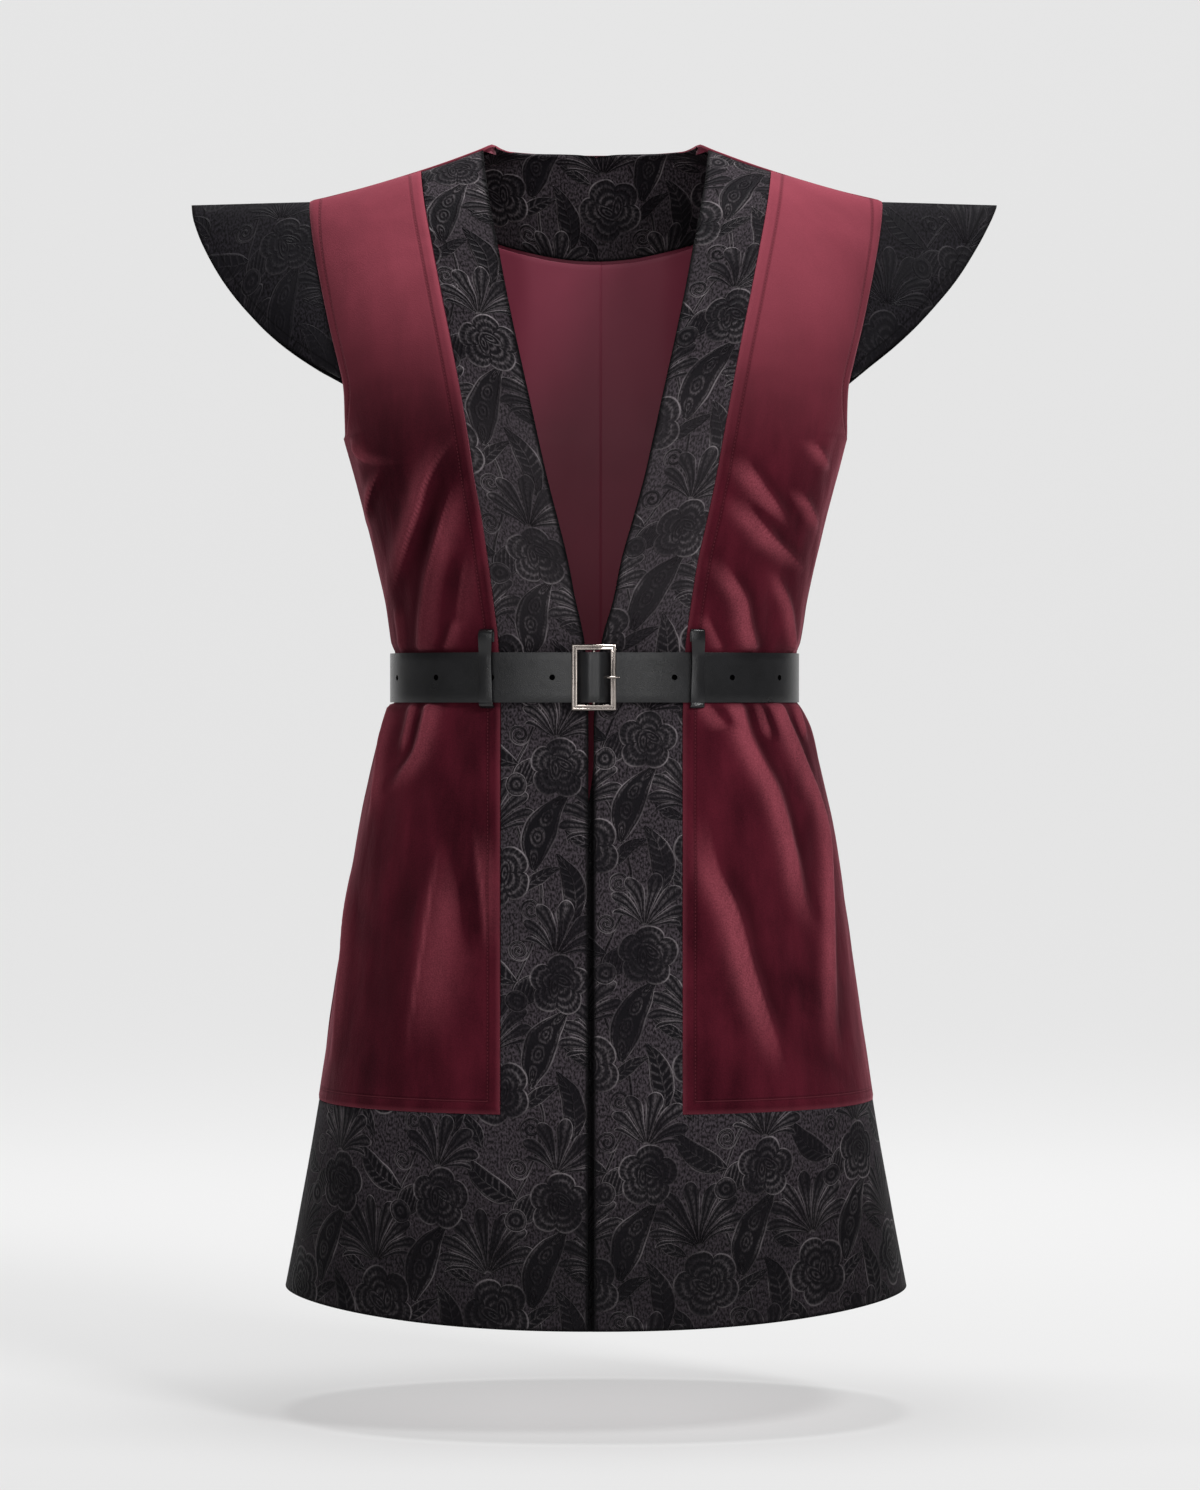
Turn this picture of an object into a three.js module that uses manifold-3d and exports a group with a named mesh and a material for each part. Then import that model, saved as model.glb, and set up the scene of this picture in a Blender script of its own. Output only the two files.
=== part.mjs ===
// Costume vest: a thigh-length sleeveless open-front coat, worn shape, held closed by its own belt.
// Wine velvet panels, black brocade front bands and hem border, pointed brocade cap sleeves,
// a brocade back-neck facing and a satin back lining, a leather belt in two loops.
// Millimetres, +Z up, the wearer faces -Y, +X is the wearer's left.
// The origin lies midway between the shoulder ridges, at the height of the neck points.
import * as THREE from "three";
import { mergeVertices } from "three/addons/utils/BufferGeometryUtils.js";
import Module from "manifold-3d";

const wasm = await Module();
wasm.setup();

// Driving dimensions
const CHEST_Z = -240; // underarm level, where the rings end and the yoke begins
const SEAM_Z = -780; // lower edge of the velvet, top of the hem border
const HEM_Z = -933; // hem at the side seams
const HEM_DIP = 15; // how much lower the hem hangs at the centre front
const NECK_X = 82; // half width of the neck at the shoulder ridge
const NECK_DEPTH = 62; // how far the back neck edge lies behind the ridge
const NECK_Z = -0.9; // height of the back neck edge
const SHOULDER_CORNER_X = 91; // neck corner of the front shoulder seam
const SHOULDER_SEAM_LOW = 0.905; // share of the yoke's arc at the seam, neck end
const SHOULDER_SEAM_HIGH = 0.945; // and armhole end
const SEAM_LEVEL_GAP = 0.0015; // half the gap at the shoulder seam, as a share of the arc
const FACING_DEPTH = 84; // back-neck facing at the centre back
const FACING_RISE = 14; // how much its lower edge rises by the neck's half width
const LINING_HEM_Z = -908; // lower edge of the back lining

// Cloth and leather
const VELVET = 2.2;
const BROCADE = 1.6;
const CAP = 2.0;
const LINING = 1.0;
const FACING = 1.4;
const FACING_GAP = 3.1; // between the back panel and its facing
const LINING_GAP = 3.7; // and its lining
const SEAM_GAP = 0.15; // half the gap between two panels at a seam
const LEATHER = 2.0;
const CAP_GAP = 0.5; // between the armhole's edge and a cap sleeve
const GAP = 0.3;
const BELT_GAP = 0.9; // between the belt and the cloth

// Belt, buckle and loops
const BELT_Z = -435.5;
const BELT_HEIGHT = 40;
const BUCKLE_X = -1.5;
const BUCKLE = { width: 35.4, height: 52.6, bar: 5.2, corner: 3, back: 7.9, front: 11.4 };
const CENTRE_BAR = { radius: 1.2, depth: 7.4 };
const PRONG_RADIUS = 1.0;
const HOLE_RADIUS = 2.1;
const HOLE_SPACING = 48;
const LOOP = { width: 10.8, top: -397, bottom: -458.5, arcs: { r: 86, l: -80 } };

// The body that the cloth hangs on, measured over the cloth: half width, and depth before and behind.
const SECTIONS = [
  { z: -960, halfWidth: 261, front: 171, back: 161, power: 2.15 },
  { z: -933, halfWidth: 255, front: 167, back: 158, power: 2.15 },
  { z: -870, halfWidth: 243, front: 159, back: 152, power: 2.15 },
  { z: -780, halfWidth: 227, front: 150, back: 145, power: 2.15 },
  { z: -700, halfWidth: 215, front: 142, back: 139, power: 2.15 },
  { z: -626, halfWidth: 204.5, front: 134, back: 133, power: 2.15 },
  { z: -552, halfWidth: 192.5, front: 125, back: 124, power: 2.2 },
  { z: -503, halfWidth: 182, front: 117, back: 115, power: 2.2 },
  { z: -478, halfWidth: 175.5, front: 111.5, back: 109, power: 2.2 },
  { z: -462, halfWidth: 168, front: 107, back: 104.5, power: 2.2 },
  { z: -455, halfWidth: 163.7, front: 104.5, back: 102, power: 2.2 },
  { z: -435, halfWidth: 163.5, front: 104, back: 101.5, power: 2.2 },
  { z: -415, halfWidth: 163.7, front: 104.5, back: 102, power: 2.2 },
  { z: -405, halfWidth: 167, front: 106.5, back: 103, power: 2.2 },
  { z: -371, halfWidth: 172.6, front: 110.5, back: 105, power: 2.2 },
  { z: -322, halfWidth: 183.7, front: 116.5, back: 108, power: 2.25 },
  { z: -273, halfWidth: 196, front: 121.5, back: 112, power: 2.3 },
  { z: -240, halfWidth: 205, front: 124, back: 114.5, power: 2.3 },
  { z: -220, halfWidth: 212, front: 124.5, back: 116, power: 2.3 },
  { z: -185, halfWidth: 222, front: 124.5, back: 117.5, power: 2.35 },
  { z: -151, halfWidth: 228, front: 123.5, back: 118, power: 2.4 },
  { z: -112, halfWidth: 234, front: 121.5, back: 117.5, power: 2.4 },
  { z: -73, halfWidth: 239, front: 118, back: 115.5, power: 2.4 },
  { z: -40, halfWidth: 242, front: 114, back: 113, power: 2.4 },
  { z: 5, halfWidth: 244, front: 110, back: 110, power: 2.4 },
];

// Ridge of the shoulder under the cloth, from the neck out past the armhole.
const RIDGE = [
  { x: 0, z: 1.2 },
  { x: 60, z: 1 },
  { x: 82, z: -1 },
  { x: 96, z: -6.4 },
  { x: 125, z: -17 },
  { x: 156, z: -27 },
  { x: 190, z: -37 },
  { x: 229, z: -46.5 },
  { x: 260, z: -53 },
];

// Edges of the front bands, as distances from the middle on the wearer's right (r) and left (l).
// The fastened front laps a little towards the right, so one edge crosses the middle.
const BAND = [
  { z: -960, inner_r: 5.8, outer_r: 75, inner_l: -1.4, outer_l: 68 },
  { z: -478, inner_r: 5.8, outer_r: 75.5, inner_l: -1.4, outer_l: 68.5 },
  { z: -445, inner_r: 6, outer_r: 76, inner_l: 0.2, outer_l: 69.5 },
  { z: -406, inner_r: 9.2, outer_r: 77.5, inner_l: 5, outer_l: 71.5 },
  { z: -374, inner_r: 16, outer_r: 81.4, inner_l: 14, outer_l: 75.7 },
  { z: -342, inner_r: 22.2, outer_r: 85.6, inner_l: 20.5, outer_l: 80.8 },
  { z: -310, inner_r: 30, outer_r: 90.3, inner_l: 29.5, outer_l: 87.9 },
  { z: -279, inner_r: 38, outer_r: 96, inner_l: 38, outer_l: 94.4 },
  { z: -247, inner_r: 45.3, outer_r: 100.8, inner_l: 45.3, outer_l: 100.2 },
  { z: -209, inner_r: 53.6, outer_r: 107.2, inner_l: 53.6, outer_l: 107.2 },
  { z: -171, inner_r: 62, outer_r: 114.4, inner_l: 62, outer_l: 114.4 },
  { z: -132, inner_r: 70.2, outer_r: 122.4, inner_l: 70.2, outer_l: 122.4 },
  { z: -94, inner_r: 77.4, outer_r: 130, inner_l: 77.4, outer_l: 130 },
  { z: -60, inner_r: 84, outer_r: 136.6, inner_l: 84, outer_l: 136.6 },
  { z: -27, inner_r: 89, outer_r: 141.6, inner_l: 89, outer_l: 141.6 },
  { z: 10, inner_r: 93, outer_r: 146, inner_l: 93, outer_l: 146 },
];
const ARMHOLE = [
  { z: -260, x: 203.5 },
  { z: -240, x: 202.8 },
  { z: -226, x: 201.8 },
  { z: -200, x: 202.4 },
  { z: -181, x: 206.5 },
  { z: -151, x: 214 },
  { z: -112, x: 222.5 },
  { z: -73, x: 230 },
  { z: -45, x: 234 },
  { z: 10, x: 239 },
];

// Gathers and folds, as ridges that stand out of the panel. Each runs over three places (x, z).
const FOLDS = {
  front_r: [
    { x: [161, 137, 117], z: [-385, -315, -250], wide: 8, high: 3.6 },
    { x: [136, 124, 110], z: [-416, -338, -278], wide: 7, high: 3.4 },
    { x: [117, 111, 105], z: [-416, -397, -372], wide: 6, high: 2.6 },
    { x: [153, 151, 147], z: [-416, -394, -366], wide: 6, high: 2.6 },
    { x: [180, 179, 186], z: [-330, -296, -250], wide: 8, high: 3 },
    { x: [127, 139, 162], z: [-454, -494, -545], wide: 7, high: 3.6 },
    { x: [147, 152, 160], z: [-454, -485, -520], wide: 6, high: 3 },
    { x: [105, 108, 116], z: [-454, -480, -530], wide: 7, high: 2.4 },
    { x: [160, 170, 181], z: [-454, -520, -590], wide: 8, high: 3.4 },
    { x: [184, 202, 214], z: [-575, -690, -775], wide: 12, high: 4 },
    { x: [110, 128, 150], z: [-590, -680, -770], wide: 20, high: 3.2 },
  ],
  front_l: [
    { x: [109, 135, 168], z: [-280, -326, -356], wide: 8, high: 3.6 },
    { x: [118, 142, 160], z: [-250, -302, -330], wide: 8, high: 3 },
    { x: [95, 112, 126], z: [-330, -370, -416], wide: 8, high: 3.6 },
    { x: [88, 94, 101], z: [-378, -396, -416], wide: 5, high: 2.4 },
    { x: [140, 142, 146], z: [-365, -392, -416], wide: 6, high: 3 },
    { x: [161, 170, 176], z: [-284, -310, -345], wide: 8, high: 3 },
    { x: [158, 157, 157], z: [-385, -400, -416], wide: 5, high: 2.4 },
    { x: [118, 132, 168], z: [-454, -520, -635], wide: 9, high: 4.4 },
    { x: [146, 172, 184], z: [-454, -526, -600], wide: 8, high: 3.8 },
    { x: [184, 187, 200], z: [-590, -690, -770], wide: 10, high: 4.4 },
    { x: [84, 108, 142], z: [-515, -640, -760], wide: 13, high: 4.8 },
    { x: [96, 100, 108], z: [-454, -480, -520], wide: 7, high: 2.6 },
    { x: [162, 170, 178], z: [-454, -480, -520], wide: 6, high: 2.8 },
  ],
  back: [
    { x: [28, 26, 20], z: [-416, -380, -330], wide: 8, high: 3 },
    { x: [62, 60, 52], z: [-416, -370, -300], wide: 8, high: 3.4 },
    { x: [96, 98, 104], z: [-416, -360, -280], wide: 8, high: 3.4 },
    { x: [128, 134, 142], z: [-416, -370, -310], wide: 7, high: 3 },
    { x: [24, 27, 34], z: [-454, -500, -570], wide: 8, high: 3 },
    { x: [58, 64, 76], z: [-454, -540, -680], wide: 11, high: 4 },
    { x: [92, 102, 118], z: [-454, -510, -590], wide: 8, high: 3.4 },
    { x: [126, 146, 172], z: [-454, -560, -740], wide: 11, high: 4.2 },
    { x: [12, 16, 20], z: [-600, -690, -775], wide: 16, high: 3.4 },
  ],
};

// Outer edge of a cap sleeve, from its tip down to the notch: how far it stands out on each side.
const CAP_EDGE = [
  { r: 331, l: 328, y: 2, z: -50.5 },
  { r: 328.5, l: 322.5, y: 8, z: -63 },
  { r: 319.5, l: 310.5, y: 16, z: -85 },
  { r: 302.5, l: 291.5, y: 26, z: -114 },
  { r: 280.5, l: 268, y: 35, z: -141 },
  { r: 257.5, l: 246, y: 41, z: -161.5 },
  { r: 232, l: 224.5, y: 46, z: -178.5 },
  { r: 209, l: 209, y: 43.5, z: -190 },
];

// Colours and finishes
const MATERIALS = {
  velvet: new THREE.MeshStandardMaterial({ color: 0x541722, roughness: 0.85, metalness: 0 }),
  brocade: new THREE.MeshStandardMaterial({ color: 0x1b191c, roughness: 0.6, metalness: 0 }),
  satin: new THREE.MeshStandardMaterial({ color: 0x5a2632, roughness: 0.5, metalness: 0 }),
  leather: new THREE.MeshStandardMaterial({ color: 0x1a1b1d, roughness: 0.45, metalness: 0 }),
  nickel: new THREE.MeshStandardMaterial({ color: 0x9c9794, roughness: 0.2, metalness: 1 }),
};

// Interpolation of one column of a table, smooth through its rows.
function read(table, key, at, by) {
  const last = table.length - 1;
  const rising = table[last][by] > table[0][by];
  let k = 0;
  while (k < last - 1 && (rising ? at > table[k + 1][by] : at < table[k + 1][by])) k++;
  const a = table[k];
  const b = table[k + 1];
  const step = b[by] - a[by];
  const t = THREE.MathUtils.clamp((at - a[by]) / step, 0, 1);
  const slope = (i) => {
    const p = table[Math.max(i - 1, 0)];
    const q = table[Math.min(i + 1, last)];
    return (q[key] - p[key]) / (q[by] - p[by]);
  };
  const rise0 = slope(k) * step;
  const rise1 = slope(k + 1) * step;
  const t2 = t * t;
  const t3 = t2 * t;
  return (
    (2 * t3 - 3 * t2 + 1) * a[key] +
    (t3 - 2 * t2 + t) * rise0 +
    (3 * t2 - 2 * t3) * b[key] +
    (t3 - t2) * rise1
  );
}

const smooth = (t) => THREE.MathUtils.smoothstep(t, 0, 1);

// One point of the body form. face is -1 before and 1 behind. A level below 0 is a ring, in metres
// below the chest; from 0 to 1 it is an arc of the yoke, from the chest up to the shoulder ridge.
function formPoint(face, level, x) {
  const neck = NECK_X;
  let z = CHEST_Z + level * 1000;
  let roll = 1;
  let top = 0;
  if (level > 0) {
    const angle = (Math.min(level, 1) * Math.PI) / 2;
    const onNeck = face > 0 && x < neck;
    const sharp = level ** 2;
    const bumpWidth = THREE.MathUtils.lerp(200, neck, sharp);
    const bumpPower = THREE.MathUtils.lerp(2, 0.5, sharp);
    const soft = face > 0 ? smooth((x - 50) / 60) : 1;
    const power = 1.3 + 0.7 * soft;
    const ridgeZ = read(RIDGE, "z", Math.max(x, neck), "x");
    const topZ = onNeck ? NECK_Z + (ridgeZ - NECK_Z) * (x / neck) ** 4 : read(RIDGE, "z", x, "x");
    top = face > 0 ? NECK_DEPTH * Math.max(1 - (x / bumpWidth) ** 2, 0) ** bumpPower : 0;
    z = CHEST_Z + (topZ - CHEST_Z) * Math.sin(angle) ** (2 / power);
    roll = Math.cos(angle) ** (2 / power);
  }
  const halfWidth = read(SECTIONS, "halfWidth", z, "z") - VELVET;
  const depth = read(SECTIONS, face < 0 ? "front" : "back", z, "z") - VELVET;
  const power = read(SECTIONS, "power", z, "z");
  const share = Math.min(x / halfWidth, 1);
  const reach = depth * (1 - share ** power) ** (1 / power);
  return new THREE.Vector3(x, face * (top + (reach - top) * roll), z);
}

// The line of the form at one level, from the centre (x = 0) to the side seam or the armhole.
const ROW_STEPS = 160;
const rows = new Map();
function rowOf(face, level) {
  const key = face + ":" + level.toFixed(5);
  if (rows.has(key)) return rows.get(key);
  const z = CHEST_Z + level * 1000;
  const end = level > 0 ? armholeX(face, level) : read(SECTIONS, "halfWidth", z, "z") - VELVET;
  const power = level > 0 ? 2 : read(SECTIONS, "power", z, "z");
  const points = [];
  for (let i = 0; i <= ROW_STEPS; i++) {
    const share = i / ROW_STEPS;
    let x;
    if (level > 0) {
      const split = 0.45;
      x =
        share < split
          ? NECK_X * Math.sin(((share / split) * Math.PI) / 2)
          : NECK_X + ((share - split) / (1 - split)) * (end - NECK_X);
    } else {
      x = end * Math.sin((share * Math.PI) / 2) ** (2 / power);
    }
    points.push(formPoint(face, level, x));
  }
  if (level <= 0) {
    points[ROW_STEPS].y = 0;
    points.forEach((p) => {
      const fall = smooth((SEAM_Z - z) / (SEAM_Z - HEM_Z));
      if (face < 0) p.z -= HEM_DIP * fall * (1 - (p.x / end) ** 2.3);
    });
  }
  const lengths = [0];
  for (let i = 1; i <= ROW_STEPS; i++) lengths.push(lengths[i - 1] + points[i].distanceTo(points[i - 1]));
  const row = { points, lengths, total: lengths[ROW_STEPS], z };
  rows.set(key, row);
  return row;
}

function armholeX(face, level) {
  let x = 220;
  for (let i = 0; i < 12; i++) x = read(ARMHOLE, "x", formPoint(face, level, x).z, "z");
  return x;
}

function lengthAtX(row, x) {
  if (x < 0) return x;
  let k = 1;
  while (k < ROW_STEPS && row.points[k].x < x) k++;
  const a = row.points[k - 1];
  const b = row.points[k];
  const t = THREE.MathUtils.clamp((x - a.x) / (b.x - a.x), 0, 1);
  return row.lengths[k - 1] + t * (row.lengths[k] - row.lengths[k - 1]);
}

function pointAtLength(row, length) {
  if (length < 0) return pointAtLength(row, -length).multiply(new THREE.Vector3(-1, 1, 1));
  const at = Math.min(length, row.total);
  let k = 1;
  while (k < ROW_STEPS && row.lengths[k] < at) k++;
  const t = (at - row.lengths[k - 1]) / (row.lengths[k] - row.lengths[k - 1]);
  return row.points[k - 1].clone().lerp(row.points[k], t);
}

// A place on the form: its point, its outward normal and how far a fold lifts the cloth there.
function place(face, level, length, folds) {
  const row = rowOf(face, level);
  const share = length / row.total;
  const [left, right] = [length - 1.5, Math.min(length + 1.5, row.total)];
  const along = pointAtLength(row, right).sub(pointAtLength(row, left));
  const step = 0.004;
  const above = rowOf(face, Math.min(level + step, 1));
  const below = rowOf(face, Math.max(level - step, -0.72));
  const up = pointAtLength(above, share * above.total).sub(pointAtLength(below, share * below.total));
  const normal = along.clone().cross(up).multiplyScalar(-face).normalize();
  const point = pointAtLength(row, length);
  const lift = folds ? liftOf(folds, row, length, point.z) : 0;
  return { point, normal, along: along.normalize(), lift };
}

function liftOf(folds, row, length, z) {
  const belt = smooth((Math.abs(z - BELT_Z) - BELT_HEIGHT / 2) / 14);
  const border = smooth((z - SEAM_Z + 20) / 60);
  let lift = 0;
  for (const fold of folds) {
    const [z0, z1, z2] = fold.z;
    const share = (z - z0) / (z2 - z0);
    if (share < 0 || share > 1) continue;
    const middle = (z1 - z0) / (z2 - z0);
    const bend = (share * (share - 1)) / (middle * (middle - 1));
    const straight = fold.x[0] + (fold.x[2] - fold.x[0]) * share;
    const offLine = fold.x[1] - (fold.x[0] + (fold.x[2] - fold.x[0]) * middle);
    const centre = lengthAtX(row, straight + offLine * bend);
    const nearBelt = Math.abs(z0 - BELT_Z) < 25 || Math.abs(z2 - BELT_Z) < 25;
    const beltFirst = Math.abs(z0 - BELT_Z) < Math.abs(z2 - BELT_Z);
    const fade = nearBelt
      ? smooth((beltFirst ? 1 - share : share) * 1.6)
      : smooth(share * 3) * smooth((1 - share) * 3);
    const off = (length - centre) / fold.wide;
    lift += fold.high * fade * Math.exp(-off * off);
  }
  return lift * belt * border;
}

// A closed wall over a grid of places: an inner and an outer sheet, joined along every open edge.
// cell(i, j) tells which cells of the grid hold cloth.
function wall(columns, rowCount, outer, inner, cell = () => true) {
  const positions = [];
  const index = [];
  const ids = new Map();
  const id = (side, i, j) => {
    const key = side + "," + i + "," + j;
    if (!ids.has(key)) {
      const p = side ? outer(i, j) : inner(i, j);
      ids.set(key, positions.length / 3);
      positions.push(p.x, p.y, p.z);
    }
    return ids.get(key);
  };
  const quad = (a, b, c, d) => index.push(a, b, c, a, c, d);
  const open = (i, j) => i < 0 || j < 0 || i >= columns || j >= rowCount || !cell(i, j);
  for (let i = 0; i < columns; i++) {
    for (let j = 0; j < rowCount; j++) {
      if (open(i, j)) continue;
      quad(id(1, i, j), id(1, i + 1, j), id(1, i + 1, j + 1), id(1, i, j + 1));
      quad(id(0, i, j + 1), id(0, i + 1, j + 1), id(0, i + 1, j), id(0, i, j));
      if (open(i, j - 1)) quad(id(0, i, j), id(0, i + 1, j), id(1, i + 1, j), id(1, i, j));
      if (open(i, j + 1)) quad(id(1, i, j + 1), id(1, i + 1, j + 1), id(0, i + 1, j + 1), id(0, i, j + 1));
      if (open(i - 1, j)) quad(id(0, i, j + 1), id(0, i, j), id(1, i, j), id(1, i, j + 1));
      if (open(i + 1, j)) quad(id(1, i + 1, j + 1), id(1, i + 1, j), id(0, i + 1, j), id(0, i + 1, j + 1));
    }
  }
  return facingOut(positions, index);
}

function facingOut(positions, index) {
  const p = (k) => new THREE.Vector3().fromArray(positions, 3 * k);
  let volume = 0;
  for (let k = 0; k < index.length; k += 3) {
    volume += p(index[k]).dot(p(index[k + 1]).cross(p(index[k + 2])));
  }
  if (volume < 0) {
    for (let k = 0; k < index.length; k += 3) [index[k + 1], index[k + 2]] = [index[k + 2], index[k + 1]];
  }
  const geometry = new THREE.BufferGeometry();
  geometry.setAttribute("position", new THREE.Float32BufferAttribute(positions, 3));
  geometry.setIndex(index);
  return geometry;
}

// A cloth panel over a grid of places, from one depth to another out of the form.
function panel(grid, from, to, cell) {
  const at = (depth) => (i, j) => {
    const { point, normal, lift } = grid[i][j];
    return point.clone().addScaledVector(normal, depth + lift);
  };
  return wall(grid.length - 1, grid[0].length - 1, at(to), at(from), cell);
}

const mirrored = (found) => ({
  ...found,
  point: found.point.clone().multiply(new THREE.Vector3(-1, 1, 1)),
  normal: found.normal.clone().multiply(new THREE.Vector3(-1, 1, 1)),
});

// Levels of the rows, from the hem up.
const levelOf = (z) => (z - CHEST_Z) / 1000;
const spread = (from, to, count) => Array.from({ length: count + 1 }, (_, k) => from + ((to - from) * k) / count);
const BORDER_LEVELS = spread(levelOf(HEM_Z), levelOf(SEAM_Z) - SEAM_GAP / 1000, 4);
const SKIRT_ZS = [...spread(SEAM_Z, -540, 7), -510, -488, -471, -456];
const BODICE_ZS = [-415, -401, -387, -370, -350, -326, -298, -268];
const BODY_LEVELS = [...SKIRT_ZS, ...BODICE_ZS].map(levelOf);
const YOKE_LEVELS = [0, 0.05, 0.1, 0.16, 0.25, 0.35, 0.45, 0.56, 0.67, 0.78, 0.89, 1];
const NOTCH_ROW = 3; // the yoke row where a cap sleeve ends, before and behind
const UPPER_LEVELS = [...BODY_LEVELS.slice(0, 1).map((l) => l + SEAM_GAP / 1000), ...BODY_LEVELS.slice(1)];

// The yoke's rows on the front end at the shoulder seam, a little before the ridge.
const seamLevel = (share) => THREE.MathUtils.lerp(SHOULDER_SEAM_LOW, SHOULDER_SEAM_HIGH, share);
const frontYokeLevel = (level, share) => level * seamLevel(share) - (level === 1 ? SEAM_LEVEL_GAP : 0);

// Where the band's edges lie at one level, as lengths along the row.
function bandEdge(face, level, edge) {
  const row = rowOf(face, level);
  let x = 80;
  for (let i = 0; i < 12; i++) {
    const z = level > 0 ? formPoint(face, level, x).z : row.z;
    x = read(BAND, edge, z, "z");
  }
  return lengthAtX(row, x);
}

// Columns of a front panel between two edges, each a function of the level.
function frontGrid(levels, columns, start, end, folds) {
  const grid = [];
  for (let i = 0; i <= columns; i++) {
    const share = i / columns;
    grid.push(
      levels.map((nominal) => {
        const spanShare = start.share + (end.share - start.share) * share;
        const level = nominal > 0 ? frontYokeLevel(nominal, spanShare) : nominal;
        const from = start.length(level);
        const to = end.length(level);
        return place(-1, level, from + (to - from) * share, folds);
      }),
    );
  }
  return grid;
}

const innerEdge = (side) => ({ share: 0.3, length: (level) => bandEdge(-1, level, "inner_" + side) });
const bandSeam = (side, gap) => ({ share: 0.6, length: (level) => bandEdge(-1, level, "outer_" + side) + gap });
const sideSeam = { share: 1, length: (level) => rowOf(-1, level).total - SEAM_GAP };

function frontVelvet(side) {
  const levels = [...UPPER_LEVELS, ...YOKE_LEVELS];
  return frontGrid(levels, 12, bandSeam(side, SEAM_GAP), sideSeam, FOLDS["front_" + side]);
}

// The band and the hem border are cut in one piece: an L.
const BAND_COLUMNS = 4;
const BORDER_COLUMNS = 8;
function frontBrocade(side) {
  const levels = [...BORDER_LEVELS, ...BODY_LEVELS.slice(1), ...YOKE_LEVELS];
  const seam = bandSeam(side, -SEAM_GAP);
  const band = frontGrid(levels, BAND_COLUMNS, innerEdge(side), seam, null);
  const border = frontGrid(levels.slice(0, BORDER_LEVELS.length), BORDER_COLUMNS, seam, sideSeam, null);
  const empty = levels.slice(BORDER_LEVELS.length).map(() => null);
  return [...band, ...border.slice(1).map((column) => [...column, ...empty])];
}
const brocadeCell = (i, j) => i < BAND_COLUMNS || j < BORDER_LEVELS.length - 1;

// Columns of the back, from the centre to one side. The neck's corner is always a column.
const BACK_INNER = 5;
const BACK_OUTER = 9;
const BACK_COLUMNS = BACK_INNER + BACK_OUTER;
function backPlace(level, i, folds, gap = SEAM_GAP) {
  const row = rowOf(1, level);
  const corner = lengthAtX(row, NECK_X);
  const outer = (i - BACK_INNER) / BACK_OUTER;
  const length = i <= BACK_INNER ? (corner * i) / BACK_INNER : corner + (row.total - gap - corner) * outer;
  return place(1, level, length, folds);
}
const backHalf = (levels, folds) =>
  spread(0, BACK_COLUMNS, BACK_COLUMNS).map((i) => levels.map((level) => backPlace(level, i, folds)));
const bothHalves = (half) => [...half.slice(1).reverse().map((column) => column.map((p) => p && mirrored(p))), ...half];

// The back rolls over the shoulder ridge and ends at the shoulder seam.
const ROLL_STEPS = 2;
function rollOver(half) {
  half.forEach((column, i) => {
    const ridge = column[column.length - 1];
    for (let k = 1; k <= ROLL_STEPS; k++) {
      if (i < BACK_INNER) {
        column.push(null);
        continue;
      }
      const part = k / ROLL_STEPS;
      const out = (ridge.point.x - NECK_X) / (235 - NECK_X);
      const x = ridge.point.x + (SHOULDER_CORNER_X - NECK_X) * part * (1 - out);
      const share = THREE.MathUtils.lerp(0.3, 1, out);
      const level = 1 - (1 - seamLevel(share) - SEAM_LEVEL_GAP) * part;
      const row = rowOf(-1, level);
      const limit = row.total - SEAM_GAP;
      column.push(place(-1, level, Math.min(lengthAtX(row, x), limit), null));
    }
  });
  return half;
}

function backVelvet() {
  const levels = [...UPPER_LEVELS, ...YOKE_LEVELS];
  const half = rollOver(backHalf(levels, FOLDS.back));
  const rowCount = levels.length - 1;
  const middle = half.length - 1;
  const cell = (i, j) => j < rowCount || Math.abs(i + 0.5 - middle) > BACK_INNER;
  return { grid: bothHalves(half), cell };
}

// Level of the facing's lower edge at one distance from the centre back.
function facingLevel(x) {
  const edge = NECK_Z - FACING_DEPTH + FACING_RISE * (x / NECK_X) ** 2;
  let low = 0;
  let high = 1;
  for (let i = 0; i < 30; i++) {
    const middle = (low + high) / 2;
    if (formPoint(1, middle, x).z < edge) low = middle;
    else high = middle;
  }
  return low;
}

function facingLevelAt(i) {
  let level = 0.7;
  for (let k = 0; k < 8; k++) level = facingLevel(backPlace(level, i).point.x);
  return level;
}

const FACING_COLUMNS = BACK_INNER + 4;
const FACING_ROW = 7;
function backFacing() {
  const half = spread(0, FACING_COLUMNS, FACING_COLUMNS).map((i) => {
    const bottom = facingLevelAt(i);
    const top = i > BACK_INNER ? 0.965 : 1;
    const levels = YOKE_LEVELS.slice(FACING_ROW).map((level, k) => Math.max(Math.min(level, top), bottom + 0.02 * k));
    return [bottom, ...levels.slice(1)].map((level) => backPlace(level, i));
  });
  return bothHalves(half);
}

// The lining reaches from the facing down to above the hem.
function backLining() {
  const zs = [LINING_HEM_Z, -845, ...SKIRT_ZS.filter((_, k) => k % 2 === 0 || k > 7), ...BODICE_ZS];
  const half = spread(0, BACK_COLUMNS, BACK_COLUMNS).map((i) => {
    const rings = zs.map((z) => backPlace(levelOf(z), i));
    const reach = i <= FACING_COLUMNS ? facingLevelAt(i) - 0.012 : 1;
    const yoke = YOKE_LEVELS.map((level) => backPlace(Math.min(level * reach, 0.93), i));
    return [...rings, ...yoke];
  });
  return bothHalves(half);
}

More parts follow.
